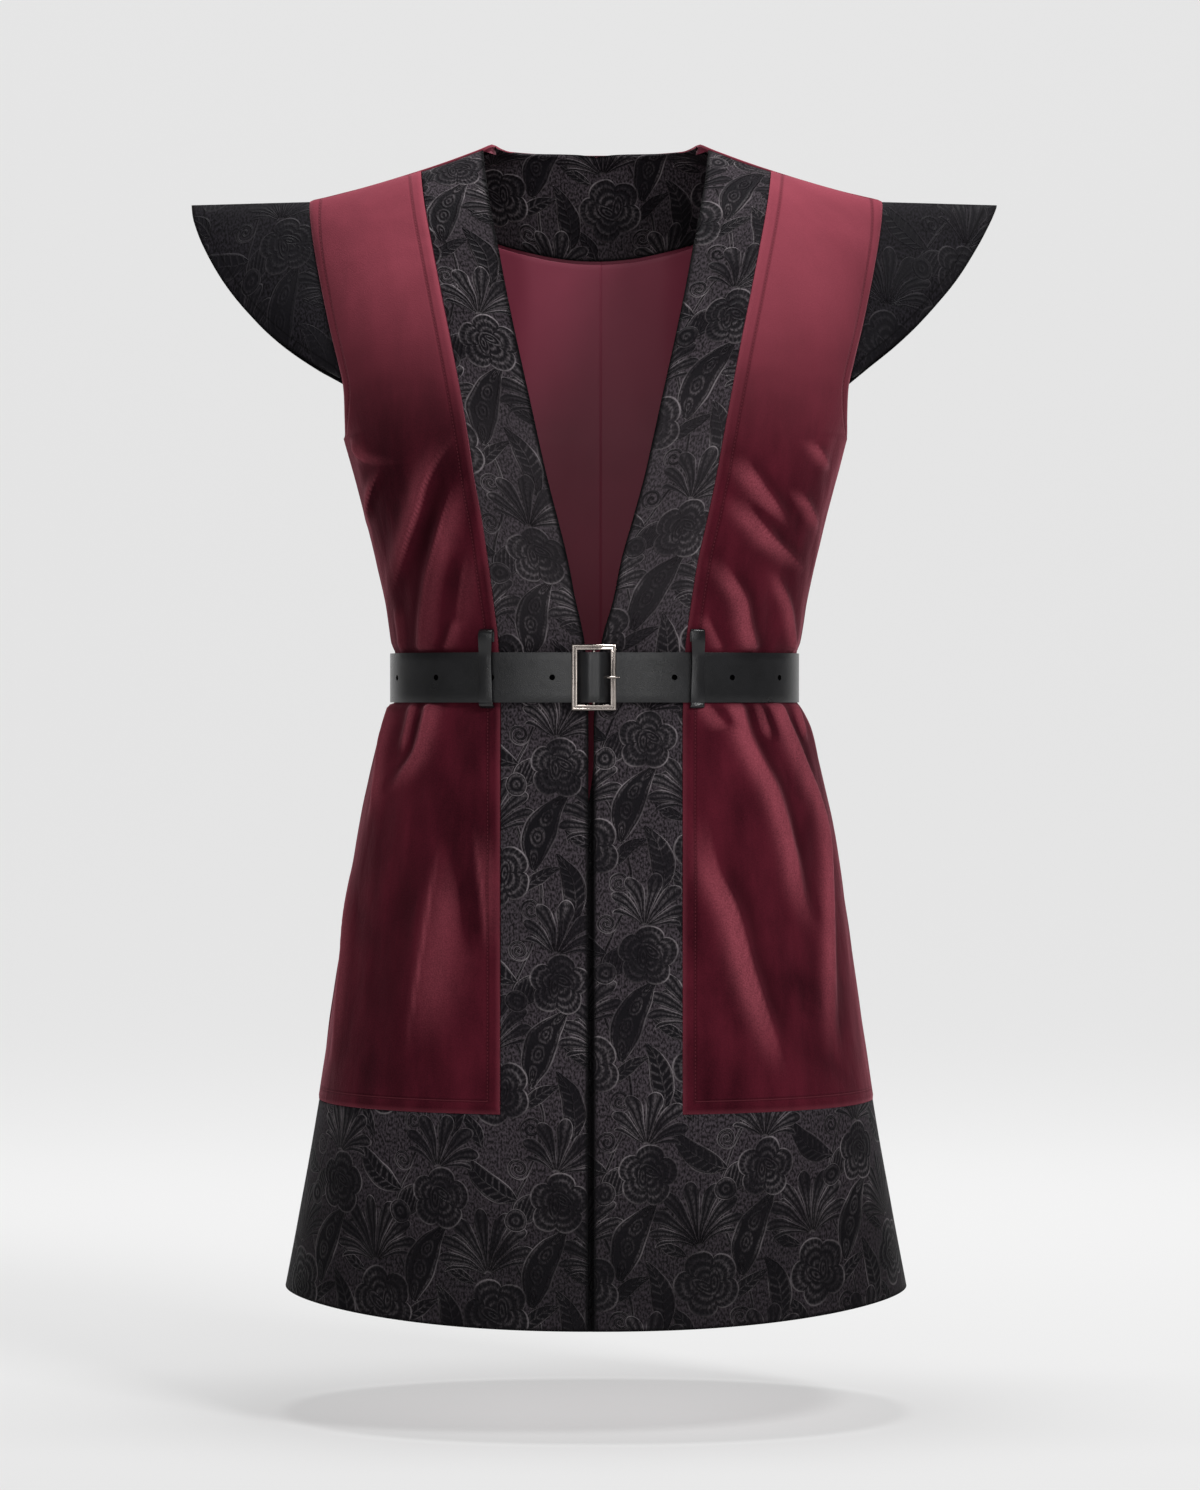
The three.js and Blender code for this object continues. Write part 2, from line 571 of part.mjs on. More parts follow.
// A cap sleeve: a stiff crescent folded over the shoulder, sewn into the top of the armhole.
// The seam runs over the shoulder, from the front notch to the back one.
const CAP_ACROSS = 7;
function capSleeve(side, frontEdge, backEdge) {
  const notch = UPPER_LEVELS.length + NOTCH_ROW;
  const seam = [...frontEdge.slice(notch), ...backEdge.slice(notch).reverse()];
  const ridge = frontEdge.length - notch + ROLL_STEPS;
  const curve = (face, count) =>
    new THREE.CatmullRomCurve3(CAP_EDGE.map((p) => new THREE.Vector3(p[side], face * p.y, p.z))).getSpacedPoints(count);
  const edge = [...curve(-1, ridge).reverse(), ...curve(1, seam.length - 1 - ridge).slice(1)];
  const puff = 5;
  const middle = seam.map((start, k) => {
    const turn = k < ridge ? 1 - k / ridge : (k - ridge) / (seam.length - 1 - ridge);
    return spread(0, 1, CAP_ACROSS).map((share) => {
      const from = start.point.clone().addScaledVector(start.along, CAP_GAP * (1 + 3 * turn ** 4));
      const point = from.lerp(edge[k], share);
      point.y += Math.sign(k - ridge) * puff * Math.sin(Math.PI * share) * Math.sin(Math.PI * turn);
      return point;
    });
  });
  const normalAt = (k, c) => {
    const along = middle[Math.min(k + 1, seam.length - 1)][c].clone().sub(middle[Math.max(k - 1, 0)][c]);
    const across = middle[k][Math.min(c + 1, CAP_ACROSS)].clone().sub(middle[k][Math.max(c - 1, 0)]);
    return across.cross(along).normalize();
  };
  return seam.map((start, k) =>
    middle[k].map((point, c) => {
      const own = normalAt(k, c);
      const blend = smooth(c / CAP_ACROSS / 0.3);
      return { point, normal: start.normal.clone().lerp(own, blend).normalize(), lift: 0 };
    }),
  );
}

// The belt lies round the waist. An arc is a distance from the centre front, positive towards the
// wearer's right; a depth is measured outwards from the inside of the cloth.
const BELT_LEVEL = levelOf(BELT_Z);
const frontWaist = rowOf(-1, BELT_LEVEL).total;
const backWaist = rowOf(1, BELT_LEVEL).total;
const waist = 2 * (frontWaist + backWaist);
function onWaist(arc, depth, z = BELT_Z) {
  const turn = ((arc % waist) + waist) % waist;
  let found;
  if (turn <= frontWaist) found = mirrored(place(-1, BELT_LEVEL, turn, null));
  else if (turn <= frontWaist + 2 * backWaist) {
    const back = frontWaist + backWaist - turn;
    found = place(1, BELT_LEVEL, Math.abs(back), null);
    if (back > 0) found = mirrored(found);
  } else found = place(-1, BELT_LEVEL, waist - turn, null);
  const flat = found.normal.setZ(0).normalize();
  return found.point.addScaledVector(flat, depth).setZ(z);
}

// A strip along a path of { arc, depth, thick }, from one height to another.
function strip(path, low, high) {
  const side = path.map((at, k) => {
    const a = path[Math.max(k - 1, 0)];
    const b = path[Math.min(k + 1, path.length - 1)];
    return new THREE.Vector2(a.depth - b.depth, b.arc - a.arc).normalize().multiplyScalar(at.thick / 2);
  });
  const edge = (sign) => (k, j) => {
    const off = side[k];
    return onWaist(path[k].arc + sign * off.x, path[k].depth + sign * off.y, j ? high : low);
  };
  return wall(path.length - 1, 1, edge(1), edge(-1));
}

// The strap runs from the buckle's centre bar round the back, through the buckle, and over itself.
const UNDER = VELVET + BELT_GAP + LEATHER / 2;
const OVER = UNDER + LEATHER + GAP;
const TAIL_ARC = 236;
function strapPath() {
  const bar = -BUCKLE_X;
  const deep = CENTRE_BAR.depth;
  const wrap = CENTRE_BAR.radius + GAP + 0.6;
  const hump = deep + wrap + 0.6 + GAP + LEATHER / 2;
  const fold = spread(-0.5, 0.5, 6).map((turn) => ({
    arc: bar - wrap * Math.cos(turn * Math.PI),
    depth: deep - wrap * Math.sin(-turn * Math.PI),
    thick: 1.2,
  }));
  const round = spread(14, waist - 34, 60).map((arc) => ({ arc, depth: UNDER, thick: LEATHER }));
  const through = [
    { arc: -24, depth: UNDER + 0.4 },
    { arc: -18, depth: UNDER + 1 },
    { arc: -13, depth: UNDER + 1.6 },
    { arc: -9, depth: hump - 4.2 },
    { arc: -5, depth: hump - 1.2 },
    { arc: -2, depth: hump - 0.2 },
    { arc: bar, depth: hump },
    { arc: bar + 3.5, depth: hump - 0.2 },
    { arc: bar + 6.5, depth: hump - 1.2 },
    { arc: bar + 10, depth: hump - 3.6 },
    { arc: bar + 13, depth: OVER },
  ].map((at) => ({ arc: waist + at.arc, depth: at.depth, thick: LEATHER }));
  const tail = spread(20, TAIL_ARC, 14).map((arc) => ({ arc: waist + arc, depth: OVER, thick: LEATHER }));
  return [
    { arc: bar + 4.5, depth: deep + wrap - 0.9, thick: 1.2 },
    ...fold.reverse(),
    { arc: bar + 4, depth: deep - wrap - 0.2, thick: 1.2 },
    { arc: bar + 8, depth: UNDER + 0.1, thick: 1.4 },
    ...round,
    ...through,
    ...tail,
  ];
}

// Solids that are cut or joined
function solidOf(geometry) {
  const bare = geometry.clone();
  for (const name of ["normal", "uv"]) bare.deleteAttribute(name);
  const merged = mergeVertices(bare, 1e-4);
  return new wasm.Manifold(
    new wasm.Mesh({
      numProp: 3,
      vertProperties: new Float32Array(merged.attributes.position.array),
      triVerts: new Uint32Array(merged.index.array),
    }),
  );
}

function geometryOf(solid) {
  const mesh = solid.getMesh();
  const geometry = new THREE.BufferGeometry();
  geometry.setAttribute("position", new THREE.BufferAttribute(new Float32Array(mesh.vertProperties), 3));
  geometry.setIndex(new THREE.BufferAttribute(new Uint32Array(mesh.triVerts), 1));
  return geometry;
}

// A tube through points, for the prong and for what it clears.
function rod(points, radius, sides = 4) {
  const circle = new THREE.Shape().absarc(0, 0, radius, 0, 2 * Math.PI, false);
  const path = new THREE.CatmullRomCurve3(points);
  return new THREE.ExtrudeGeometry(circle, { steps: 9, curveSegments: sides, bevelEnabled: false, extrudePath: path });
}

const buckleFront = (arc, depth, z) => onWaist(0, depth, z).add(new THREE.Vector3(-arc, 0, 0));
function prongPath() {
  const x = -BUCKLE_X;
  const high = BUCKLE.front + GAP + PRONG_RADIUS;
  return [
    buckleFront(x - 2.1, CENTRE_BAR.depth, BELT_Z),
    buckleFront(x - 5, CENTRE_BAR.depth + 0.3, BELT_Z),
    buckleFront(x - 8.5, CENTRE_BAR.depth + 2.2, BELT_Z),
    buckleFront(x - 11.5, high - 0.3, BELT_Z),
    buckleFront(x - 15, high + 0.1, BELT_Z),
    buckleFront(x - 20.5, high - 0.1, BELT_Z),
  ];
}

function prong() {
  const ring = new THREE.LatheGeometry(
    [
      [CENTRE_BAR.radius + GAP, -1.5],
      [CENTRE_BAR.radius + GAP + 1.1, -1.5],
      [CENTRE_BAR.radius + GAP + 1.1, 1.5],
      [CENTRE_BAR.radius + GAP, 1.5],
      [CENTRE_BAR.radius + GAP, -1.5],
    ].map(([r, h]) => new THREE.Vector2(r, h)),
    12,
  ).rotateX(Math.PI / 2);
  const centre = buckleFront(-BUCKLE_X, CENTRE_BAR.depth, BELT_Z);
  ring.translate(centre.x, centre.y, centre.z);
  return geometryOf(solidOf(ring).add(solidOf(rod(prongPath(), PRONG_RADIUS))));
}

function roundedRectangle(Kind, width, height, corner) {
  const [w, h] = [width / 2, height / 2];
  const shape = new Kind();
  shape.moveTo(-w + corner, -h);
  shape.lineTo(w - corner, -h);
  shape.absarc(w - corner, -h + corner, corner, -Math.PI / 2, 0, false);
  shape.lineTo(w, h - corner);
  shape.absarc(w - corner, h - corner, corner, 0, Math.PI / 2, false);
  shape.lineTo(-w + corner, h);
  shape.absarc(-w + corner, h - corner, corner, Math.PI / 2, Math.PI, false);
  shape.lineTo(-w, -h + corner);
  shape.absarc(-w + corner, -h + corner, corner, Math.PI, 1.5 * Math.PI, false);
  return shape;
}

function buckleFrame() {
  const bevel = 0.9;
  const shape = roundedRectangle(THREE.Shape, BUCKLE.width - 2 * bevel, BUCKLE.height - 2 * bevel, BUCKLE.corner - bevel);
  const [innerWidth, innerHeight] = [BUCKLE.width - 2 * BUCKLE.bar, BUCKLE.height - 2 * BUCKLE.bar];
  shape.holes.push(roundedRectangle(THREE.Path, innerWidth + 2 * bevel, innerHeight + 2 * bevel, 1.6));
  const frame = new THREE.ExtrudeGeometry(shape, {
    depth: BUCKLE.front - BUCKLE.back - 2 * bevel,
    bevelEnabled: true,
    bevelThickness: bevel,
    bevelSize: bevel,
    bevelSegments: 1,
    curveSegments: 3,
  });
  const front = onWaist(0, 0).y;
  frame.translate(0, 0, BUCKLE.back + bevel).rotateX(Math.PI / 2).translate(BUCKLE_X, front, BELT_Z);
  const bar = new THREE.CylinderGeometry(CENTRE_BAR.radius, CENTRE_BAR.radius, BUCKLE.height - 4, 12);
  bar.rotateX(Math.PI / 2).translate(BUCKLE_X, front - CENTRE_BAR.depth, BELT_Z);
  return geometryOf(solidOf(frame).add(solidOf(bar)));
}

function belt() {
  const [low, high] = [BELT_Z - BELT_HEIGHT / 2, BELT_Z + BELT_HEIGHT / 2];
  let solid = solidOf(strip(strapPath(), low, high));
  const slot = new THREE.BoxGeometry(9, 9, 4.4);
  const centre = buckleFront(-BUCKLE_X, CENTRE_BAR.depth - 1.4, BELT_Z);
  slot.translate(centre.x, centre.y, centre.z);
  solid = solid.subtract(solidOf(slot));
  solid = solid.subtract(solidOf(rod(prongPath(), PRONG_RADIUS + 0.45)));
  const holes = [...spread(34, 34 + 3 * HOLE_SPACING, 3), ...spread(-62, -62 - 3 * HOLE_SPACING, 3)];
  for (const arc of holes) {
    const depth = arc > 0 ? OVER : UNDER;
    const punch = new THREE.CylinderGeometry(HOLE_RADIUS, HOLE_RADIUS, LEATHER + 0.24, 12);
    const [at, out] = [onWaist(arc, depth), onWaist(arc, depth + 1)];
    punch.lookAt(new THREE.Vector3(0, 1, 0));
    const turned = new THREE.Quaternion().setFromUnitVectors(new THREE.Vector3(0, 0, 1), out.sub(at).normalize());
    punch.applyQuaternion(turned).translate(at.x, at.y, at.z);
    solid = solid.subtract(solidOf(punch));
  }
  return geometryOf(solid);
}

// A belt loop: a leather strip sewn down above and below the belt, standing over it.
function beltLoop(arc) {
  const over = (arc > 0 ? OVER : UNDER) + LEATHER / 2 + 0.8;
  const base = VELVET + GAP + 1;
  const thick = 2;
  const path = [
    { z: LOOP.top - 10, depth: base + 0.2 },
    { z: LOOP.top - 5, depth: base },
    { z: LOOP.top - 1.6, depth: base + 1.2 },
    { z: LOOP.top - 1, depth: base + 3.2 },
    { z: LOOP.top - 3.4, depth: over + 1.6 },
    { z: LOOP.top - 10, depth: over + 2.4 },
    { z: LOOP.top - 19, depth: over + 2.2 },
    { z: BELT_Z, depth: over + 1.6 },
    { z: LOOP.bottom + 8, depth: over + 1.6 },
    { z: LOOP.bottom + 2, depth: over + 0.6 },
    { z: LOOP.bottom, depth: base + 2.6 },
    { z: LOOP.bottom - 0.6, depth: base + 0.6 },
  ];
  const face = -1;
  const frame = (z, depth, along) => {
    const inBelt = Math.abs(z - BELT_Z) < BELT_HEIGHT / 2 + 1;
    const level = inBelt ? BELT_LEVEL : levelOf(z);
    const found = place(face, level, Math.abs(arc) + along, null);
    const out = found.point.addScaledVector(found.normal.setZ(0).normalize(), depth).setZ(z);
    return arc > 0 ? out.setX(-out.x) : out;
  };
  const side = path.map((at, k) => {
    const a = path[Math.max(k - 1, 0)];
    const b = path[Math.min(k + 1, path.length - 1)];
    return new THREE.Vector2(b.depth - a.depth, a.z - b.z).normalize().multiplyScalar(thick / 2);
  });
  const edge = (sign) => (k, j) =>
    frame(path[k].z + sign * side[k].x, path[k].depth + sign * side[k].y, (j - 0.5) * LOOP.width);
  return wall(path.length - 1, 1, edge(1), edge(-1));
}

// Assembly
const vest = new THREE.Group();
function add(name, geometry, material) {
  const mesh = new THREE.Mesh(geometry, material);
  mesh.name = name;
  vest.add(mesh);
}
const otherSide = (grid) => grid.map((column) => column.map((p) => p && mirrored(p)));

const back = backVelvet();
const backEdge = back.grid[back.grid.length - 1];
for (const side of ["r", "l"]) {
  const turned = side === "r" ? otherSide : (grid) => grid;
  const velvet = frontVelvet(side);
  const cap = capSleeve(side, velvet[velvet.length - 1], backEdge);
  add("front_velvet_" + side, panel(turned(velvet), 0, VELVET), MATERIALS.velvet);
  add("front_brocade_" + side, panel(turned(frontBrocade(side)), 0, BROCADE, brocadeCell), MATERIALS.brocade);
  add("cap_sleeve_" + side, panel(turned(cap), 0, CAP), MATERIALS.brocade);
}
add("back_velvet", panel(back.grid, 0, VELVET, back.cell), MATERIALS.velvet);
add("back_hem_brocade", panel(bothHalves(backHalf(BORDER_LEVELS, null)), 0, BROCADE), MATERIALS.brocade);
add("back_neck_facing", panel(backFacing(), -FACING_GAP - FACING, -FACING_GAP), MATERIALS.brocade);
add("back_lining", panel(backLining(), -LINING_GAP - LINING, -LINING_GAP), MATERIALS.satin);
add("belt_strap", belt(), MATERIALS.leather);
add("belt_loop_l", beltLoop(LOOP.arcs.l), MATERIALS.leather);
add("belt_loop_r", beltLoop(LOOP.arcs.r), MATERIALS.leather);
add("buckle_frame", buckleFrame(), MATERIALS.nickel);
add("buckle_prong", prong(), MATERIALS.nickel);

export default vest;
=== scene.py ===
"""Belted costume vest, filled out as it is worn.

Wine velvet panels, black brocade front bands, hem border and cap sleeves, a brocade back-neck
facing, a satin back lining, and a leather belt with a metal buckle in two leather loops.
"""

import logging
import math
from collections.abc import Callable, Sequence
from dataclasses import dataclass, field
from enum import Enum

import bmesh
import bpy
import numpy as np
from mathutils import Matrix, Vector


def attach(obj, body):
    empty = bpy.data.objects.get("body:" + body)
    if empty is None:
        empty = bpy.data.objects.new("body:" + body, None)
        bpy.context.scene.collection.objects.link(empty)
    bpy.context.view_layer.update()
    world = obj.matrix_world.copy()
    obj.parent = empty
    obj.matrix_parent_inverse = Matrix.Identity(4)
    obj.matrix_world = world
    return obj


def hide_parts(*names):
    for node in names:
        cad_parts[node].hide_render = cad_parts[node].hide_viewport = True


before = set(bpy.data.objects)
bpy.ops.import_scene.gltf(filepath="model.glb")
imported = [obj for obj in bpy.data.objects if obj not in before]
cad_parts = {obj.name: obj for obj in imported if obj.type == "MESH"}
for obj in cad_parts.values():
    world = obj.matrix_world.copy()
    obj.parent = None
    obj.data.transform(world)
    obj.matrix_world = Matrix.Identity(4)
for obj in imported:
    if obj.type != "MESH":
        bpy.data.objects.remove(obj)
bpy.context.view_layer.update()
LOG = logging.getLogger("vest")
MM = 0.001
Array = np.ndarray


class Face(Enum):
    """The front or the back of the vest, as the sign of y."""

    FRONT = -1.0
    BACK = 1.0


class Side(Enum):
    """The wearer's right (-X) or left (+X)."""

    RIGHT = "r"
    LEFT = "l"

    @property
    def sign(self) -> float:
        """The sign of x on this side."""
        return -1.0 if self is Side.RIGHT else 1.0


def smoothstep(value: Array) -> Array:
    """Ease from 0 to 1 as the value goes from 0 to 1."""
    t = np.clip(value, 0.0, 1.0)
    return t * t * (3.0 - 2.0 * t)


def lerp(a: Array, b: Array, t: Array) -> Array:
    """Mix two values."""
    return a + (b - a) * t


class SmoothTable:
    """One column of a table, read smoothly between its rows."""

    def __init__(self, at: Sequence[float], value: Sequence[float]) -> None:
        """Keep the rows in rising order and work out their slopes.

        Args:
            at: where each row stands.
            value: what the column holds there.
        """
        order = np.argsort(at)
        self.at = np.asarray(at, float)[order]
        self.value = np.asarray(value, float)[order]
        last = len(self.at) - 1
        low = np.maximum(np.arange(last + 1) - 1, 0)
        high = np.minimum(np.arange(last + 1) + 1, last)
        self.slope = (self.value[high] - self.value[low]) / (self.at[high] - self.at[low])

    def __call__(self, where: Array) -> Array:
        """Read the column.

        Args:
            where: the places to read it at.

        Returns:
            The values there.
        """
        w = np.clip(where, self.at[0], self.at[-1])
        k = np.clip(np.searchsorted(self.at, w, side="right") - 1, 0, len(self.at) - 2)
        step = self.at[k + 1] - self.at[k]
        t = (w - self.at[k]) / step
        t2, t3 = t * t, t * t * t
        return (
            (2 * t3 - 3 * t2 + 1) * self.value[k]
            + (t3 - 2 * t2 + t) * self.slope[k] * step
            + (3 * t2 - 2 * t3) * self.value[k + 1]
            + (t3 - t2) * self.slope[k + 1] * step
        )


@dataclass(frozen=True)
class Section:
    """A level section of the form, in millimetres over the cloth."""

    z: float
    half_width: float
    front: float
    back: float
    power: float


SECTIONS = (
    Section(-960, 261, 171, 161, 2.15),
    Section(-933, 255, 167, 158, 2.15),
    Section(-870, 243, 159, 152, 2.15),
    Section(-780, 227, 150, 145, 2.15),
    Section(-700, 215, 142, 139, 2.15),
    Section(-626, 204.5, 134, 133, 2.15),
    Section(-552, 192.5, 125, 124, 2.2),
    Section(-503, 182, 117, 115, 2.2),
    Section(-478, 175.5, 111.5, 109, 2.2),
    Section(-462, 168, 107, 104.5, 2.2),
    Section(-455, 163.7, 104.5, 102, 2.2),
    Section(-435, 163.5, 104, 101.5, 2.2),
    Section(-415, 163.7, 104.5, 102, 2.2),
    Section(-405, 167, 106.5, 103, 2.2),
    Section(-371, 172.6, 110.5, 105, 2.2),
    Section(-322, 183.7, 116.5, 108, 2.25),
    Section(-273, 196, 121.5, 112, 2.3),
    Section(-240, 205, 124, 114.5, 2.3),
    Section(-220, 212, 124.5, 116, 2.3),
    Section(-185, 222, 124.5, 117.5, 2.35),
    Section(-151, 228, 123.5, 118, 2.4),
    Section(-112, 234, 121.5, 117.5, 2.4),
    Section(-73, 239, 118, 115.5, 2.4),
    Section(-40, 242, 114, 113, 2.4),
    Section(5, 244, 110, 110, 2.4),
)

RIDGE_X = (0, 60, 82, 96, 125, 156, 190, 229, 260)
RIDGE_Z = (1.2, 1, -1, -6.4, -17, -27, -37, -46.5, -53)
ARMHOLE_Z = (-260, -240, -226, -200, -181, -151, -112, -73, -45, 10)
ARMHOLE_X = (203.5, 202.8, 201.8, 202.4, 206.5, 214, 222.5, 230, 234, 239)


@dataclass(frozen=True)
class BandRow:
    """Where the front band's edges lie at one height, on the wearer's right and left."""

    z: float
    inner_r: float
    outer_r: float
    inner_l: float
    outer_l: float


BAND = (
    BandRow(-960, 5.8, 75, -1.4, 68),
    BandRow(-478, 5.8, 75.5, -1.4, 68.5),
    BandRow(-445, 6, 76, 0.2, 69.5),
    BandRow(-406, 9.2, 77.5, 5, 71.5),
    BandRow(-374, 16, 81.4, 14, 75.7),
    BandRow(-342, 22.2, 85.6, 20.5, 80.8),
    BandRow(-310, 30, 90.3, 29.5, 87.9),
    BandRow(-279, 38, 96, 38, 94.4),
    BandRow(-247, 45.3, 100.8, 45.3, 100.2),
    BandRow(-209, 53.6, 107.2, 53.6, 107.2),
    BandRow(-171, 62, 114.4, 62, 114.4),
    BandRow(-132, 70.2, 122.4, 70.2, 122.4),
    BandRow(-94, 77.4, 130, 77.4, 130),
    BandRow(-60, 84, 136.6, 84, 136.6),
    BandRow(-27, 89, 141.6, 89, 141.6),
    BandRow(10, 93, 146, 93, 146),
)


@dataclass
class Row:
    """The line of the form at one level, from the middle (x = 0) out to the side."""

    points: Array
    lengths: Array

    @property
    def total(self) -> float:
        """Length of the whole line."""
        return float(self.lengths[-1])

    def at(self, length: Array) -> Array:
        """Find points along the line.

        Args:
            length: distances from the middle; below 0 they lie past it.

        Returns:
            The points, one row each.
        """
        along = np.minimum(np.abs(length), self.total)
        found = np.stack([np.interp(along, self.lengths, self.points[:, k]) for k in range(3)], axis=-1)
        found[..., 0] *= np.where(np.asarray(length) < 0, -1.0, 1.0)
        return found

    def length_at_x(self, x: Array) -> Array:
        """Distance along the line at which it reaches each x."""
        return np.where(np.asarray(x) < 0, x, np.interp(x, self.points[:, 0], self.lengths))


@dataclass
class BodyForm:
    """The general figure that the cloth hangs on.

    A level below 0 is a ring, in metres below the chest. From 0 to 1 it is an arc of the yoke,
    from the chest up to the shoulder ridge.
    """

    chest_z: float = -240.0
    seam_z: float = -780.0
    hem_z: float = -933.0
    hem_dip: float = 15.0
    neck_x: float = 82.0
    neck_depth: float = 62.0
    neck_z: float = -0.9
    cloth: float = 2.2
    steps: int = 160
    kept: dict = field(default_factory=dict)

    def __post_init__(self) -> None:
        """Read the tables."""
        zs = [s.z for s in SECTIONS]
        self.half_width = SmoothTable(zs, [s.half_width - self.cloth for s in SECTIONS])
        self.depth = {
            Face.FRONT: SmoothTable(zs, [s.front - self.cloth for s in SECTIONS]),
            Face.BACK: SmoothTable(zs, [s.back - self.cloth for s in SECTIONS]),
        }
        self.power = SmoothTable(zs, [s.power for s in SECTIONS])
        self.ridge = SmoothTable(RIDGE_X, RIDGE_Z)
        self.armhole = SmoothTable(ARMHOLE_Z, ARMHOLE_X)
        self.band = {
            name: SmoothTable([b.z for b in BAND], [getattr(b, name) for b in BAND])
            for name in ("inner_r", "outer_r", "inner_l", "outer_l")
        }

    def point(self, face: Face, level: float, x: Array) -> Array:
        """Find points of the form.

        Args:
            face: front or back.
            level: the ring or arc they lie on.
            x: how far each lies from the middle.

        Returns:
            The points, one row each.
        """
        x = np.asarray(x, float)
        z = np.full_like(x, self.chest_z + level * 1000.0)
        roll = np.ones_like(x)
        top = np.zeros_like(x)
        if level > 0:
            angle = min(level, 1.0) * math.pi / 2
            soft = smoothstep((x - 50.0) / 60.0) if face is Face.BACK else np.ones_like(x)
            power = 1.3 + 0.7 * soft
            ridge = self.ridge(np.maximum(x, self.neck_x)) if face is Face.BACK else self.ridge(x)
            top_z = ridge
            if face is Face.BACK:
                sharp = level**2
                wide, bend = lerp(200.0, self.neck_x, sharp), lerp(2.0, 0.5, sharp)
                top = self.neck_depth * np.maximum(1 - (x / wide) ** 2, 0) ** bend
                dip = self.neck_z + (ridge - self.neck_z) * (x / self.neck_x) ** 4
                top_z = np.where(x < self.neck_x, dip, ridge)
            z = self.chest_z + (top_z - self.chest_z) * math.sin(angle) ** (2 / power)
            roll = max(math.cos(angle), 0.0) ** (2 / power)
        power = self.power(z)
        share = np.minimum(x / self.half_width(z), 1.0)
        reach = self.depth[face](z) * (1 - share**power) ** (1 / power)
        return np.stack([x, face.value * (top + (reach - top) * roll), z], axis=-1)

    def armhole_x(self, face: Face, level: float) -> float:
        """How far out the armhole's edge lies on one arc of the yoke.

        Args:
            face: front or back.
            level: the arc of the yoke.

        Returns:
            The edge's distance from the middle, in millimetres.
        """
        x = 220.0
        for _ in range(12):
            x = float(self.armhole(self.point(face, level, np.array([x]))[0, 2]))
        return x

    def row(self, face: Face, level: float) -> Row:
        """Find the line of the form at one level.

        Args:
            face: front or back.
            level: the ring or arc.

        Returns:
            The line, from the middle to the side seam or the armhole.
        """
        key = (face, round(level, 6))
        if key in self.kept:
            return self.kept[key]
        z = self.chest_z + level * 1000.0
        share = np.arange(self.steps + 1) / self.steps
        if level > 0:
            end, split = self.armhole_x(face, level), 0.45
            inside = self.neck_x * np.sin(np.minimum(share / split, 1.0) * math.pi / 2)
            outside = self.neck_x + (share - split) / (1 - split) * (end - self.neck_x)
            points = self.point(face, level, np.where(share < split, inside, outside))
        else:
            end = float(self.half_width(z))
            reach = end * np.sin(share * math.pi / 2) ** (2 / float(self.power(z)))
            points = self.point(face, level, reach)
            points[-1, 1] = 0.0
            if face is Face.FRONT:
                fall = smoothstep((self.seam_z - z) / (self.seam_z - self.hem_z))
                points[:, 2] -= self.hem_dip * fall * (1 - (points[:, 0] / end) ** 2.3)
        self.kept[key] = Row(points, run_of(points))
        return self.kept[key]

    def level_of(self, z: float) -> float:
        """The level of a ring at one height."""
        return (z - self.chest_z) / 1000.0

    def band_edge(self, level: float, edge: str) -> float:
        """Distance along a front row at which one edge of the band lies.

        Args:
            level: the ring or arc.
            edge: the edge's column in the band's table.

        Returns:
            The distance, in millimetres.
        """
        x = 80.0
        for _ in range(12):
            z = self.chest_z + level * 1000
            if level > 0:
                z = self.point(Face.FRONT, level, np.array([abs(x)]))[0, 2]
            x = float(self.band[edge](z))
        return float(self.row(Face.FRONT, level).length_at_x(x))


@dataclass
class Drape:
    """Cloth laid over the form: a grid of places, columns first, with the cut's own distances."""

    points: Array
    across: Array
    up: Array

    def normals(self) -> Array:
        """Work out the outward normals of the grid.

        Returns:
            One unit normal for each place.
        """
        along = np.gradient(self.points, axis=0)
        rise = np.gradient(self.points, axis=1)
        normal = np.cross(along, rise)
        size = np.linalg.norm(normal, axis=-1, keepdims=True)
        normal = normal / np.maximum(size, 1e-9)
        outward = np.sum(normal[..., :2] * self.points[..., :2] * (0.3, 1.0))
        return normal * (1.0 if outward > 0 else -1.0)

    def mirrored(self) -> "Drape":
        """The same cloth on the other side of the middle."""
        return Drape(self.points * np.array([-1.0, 1.0, 1.0]), -self.across, self.up)


def run_of(line: Array) -> Array:
    """Distances of a line's places from its first one, along the line."""
    steps = np.linalg.norm(np.diff(line, axis=0), axis=1)
    return np.concatenate([[0.0], np.cumsum(steps)])


def rises(points: Array) -> Array:
    """Distances up each column of a grid of places."""
    steps = np.linalg.norm(np.diff(points, axis=1), axis=-1)
    return np.concatenate([np.zeros((points.shape[0], 1)), np.cumsum(steps, axis=1)], axis=1)


@dataclass(frozen=True)
class Fold:
    """A ridge of cloth: its line as places (x, z), its half width, its height and its steep side."""

    line: tuple[tuple[float, float], ...]
    wide: float
    high: float
    steep: float = 0.0


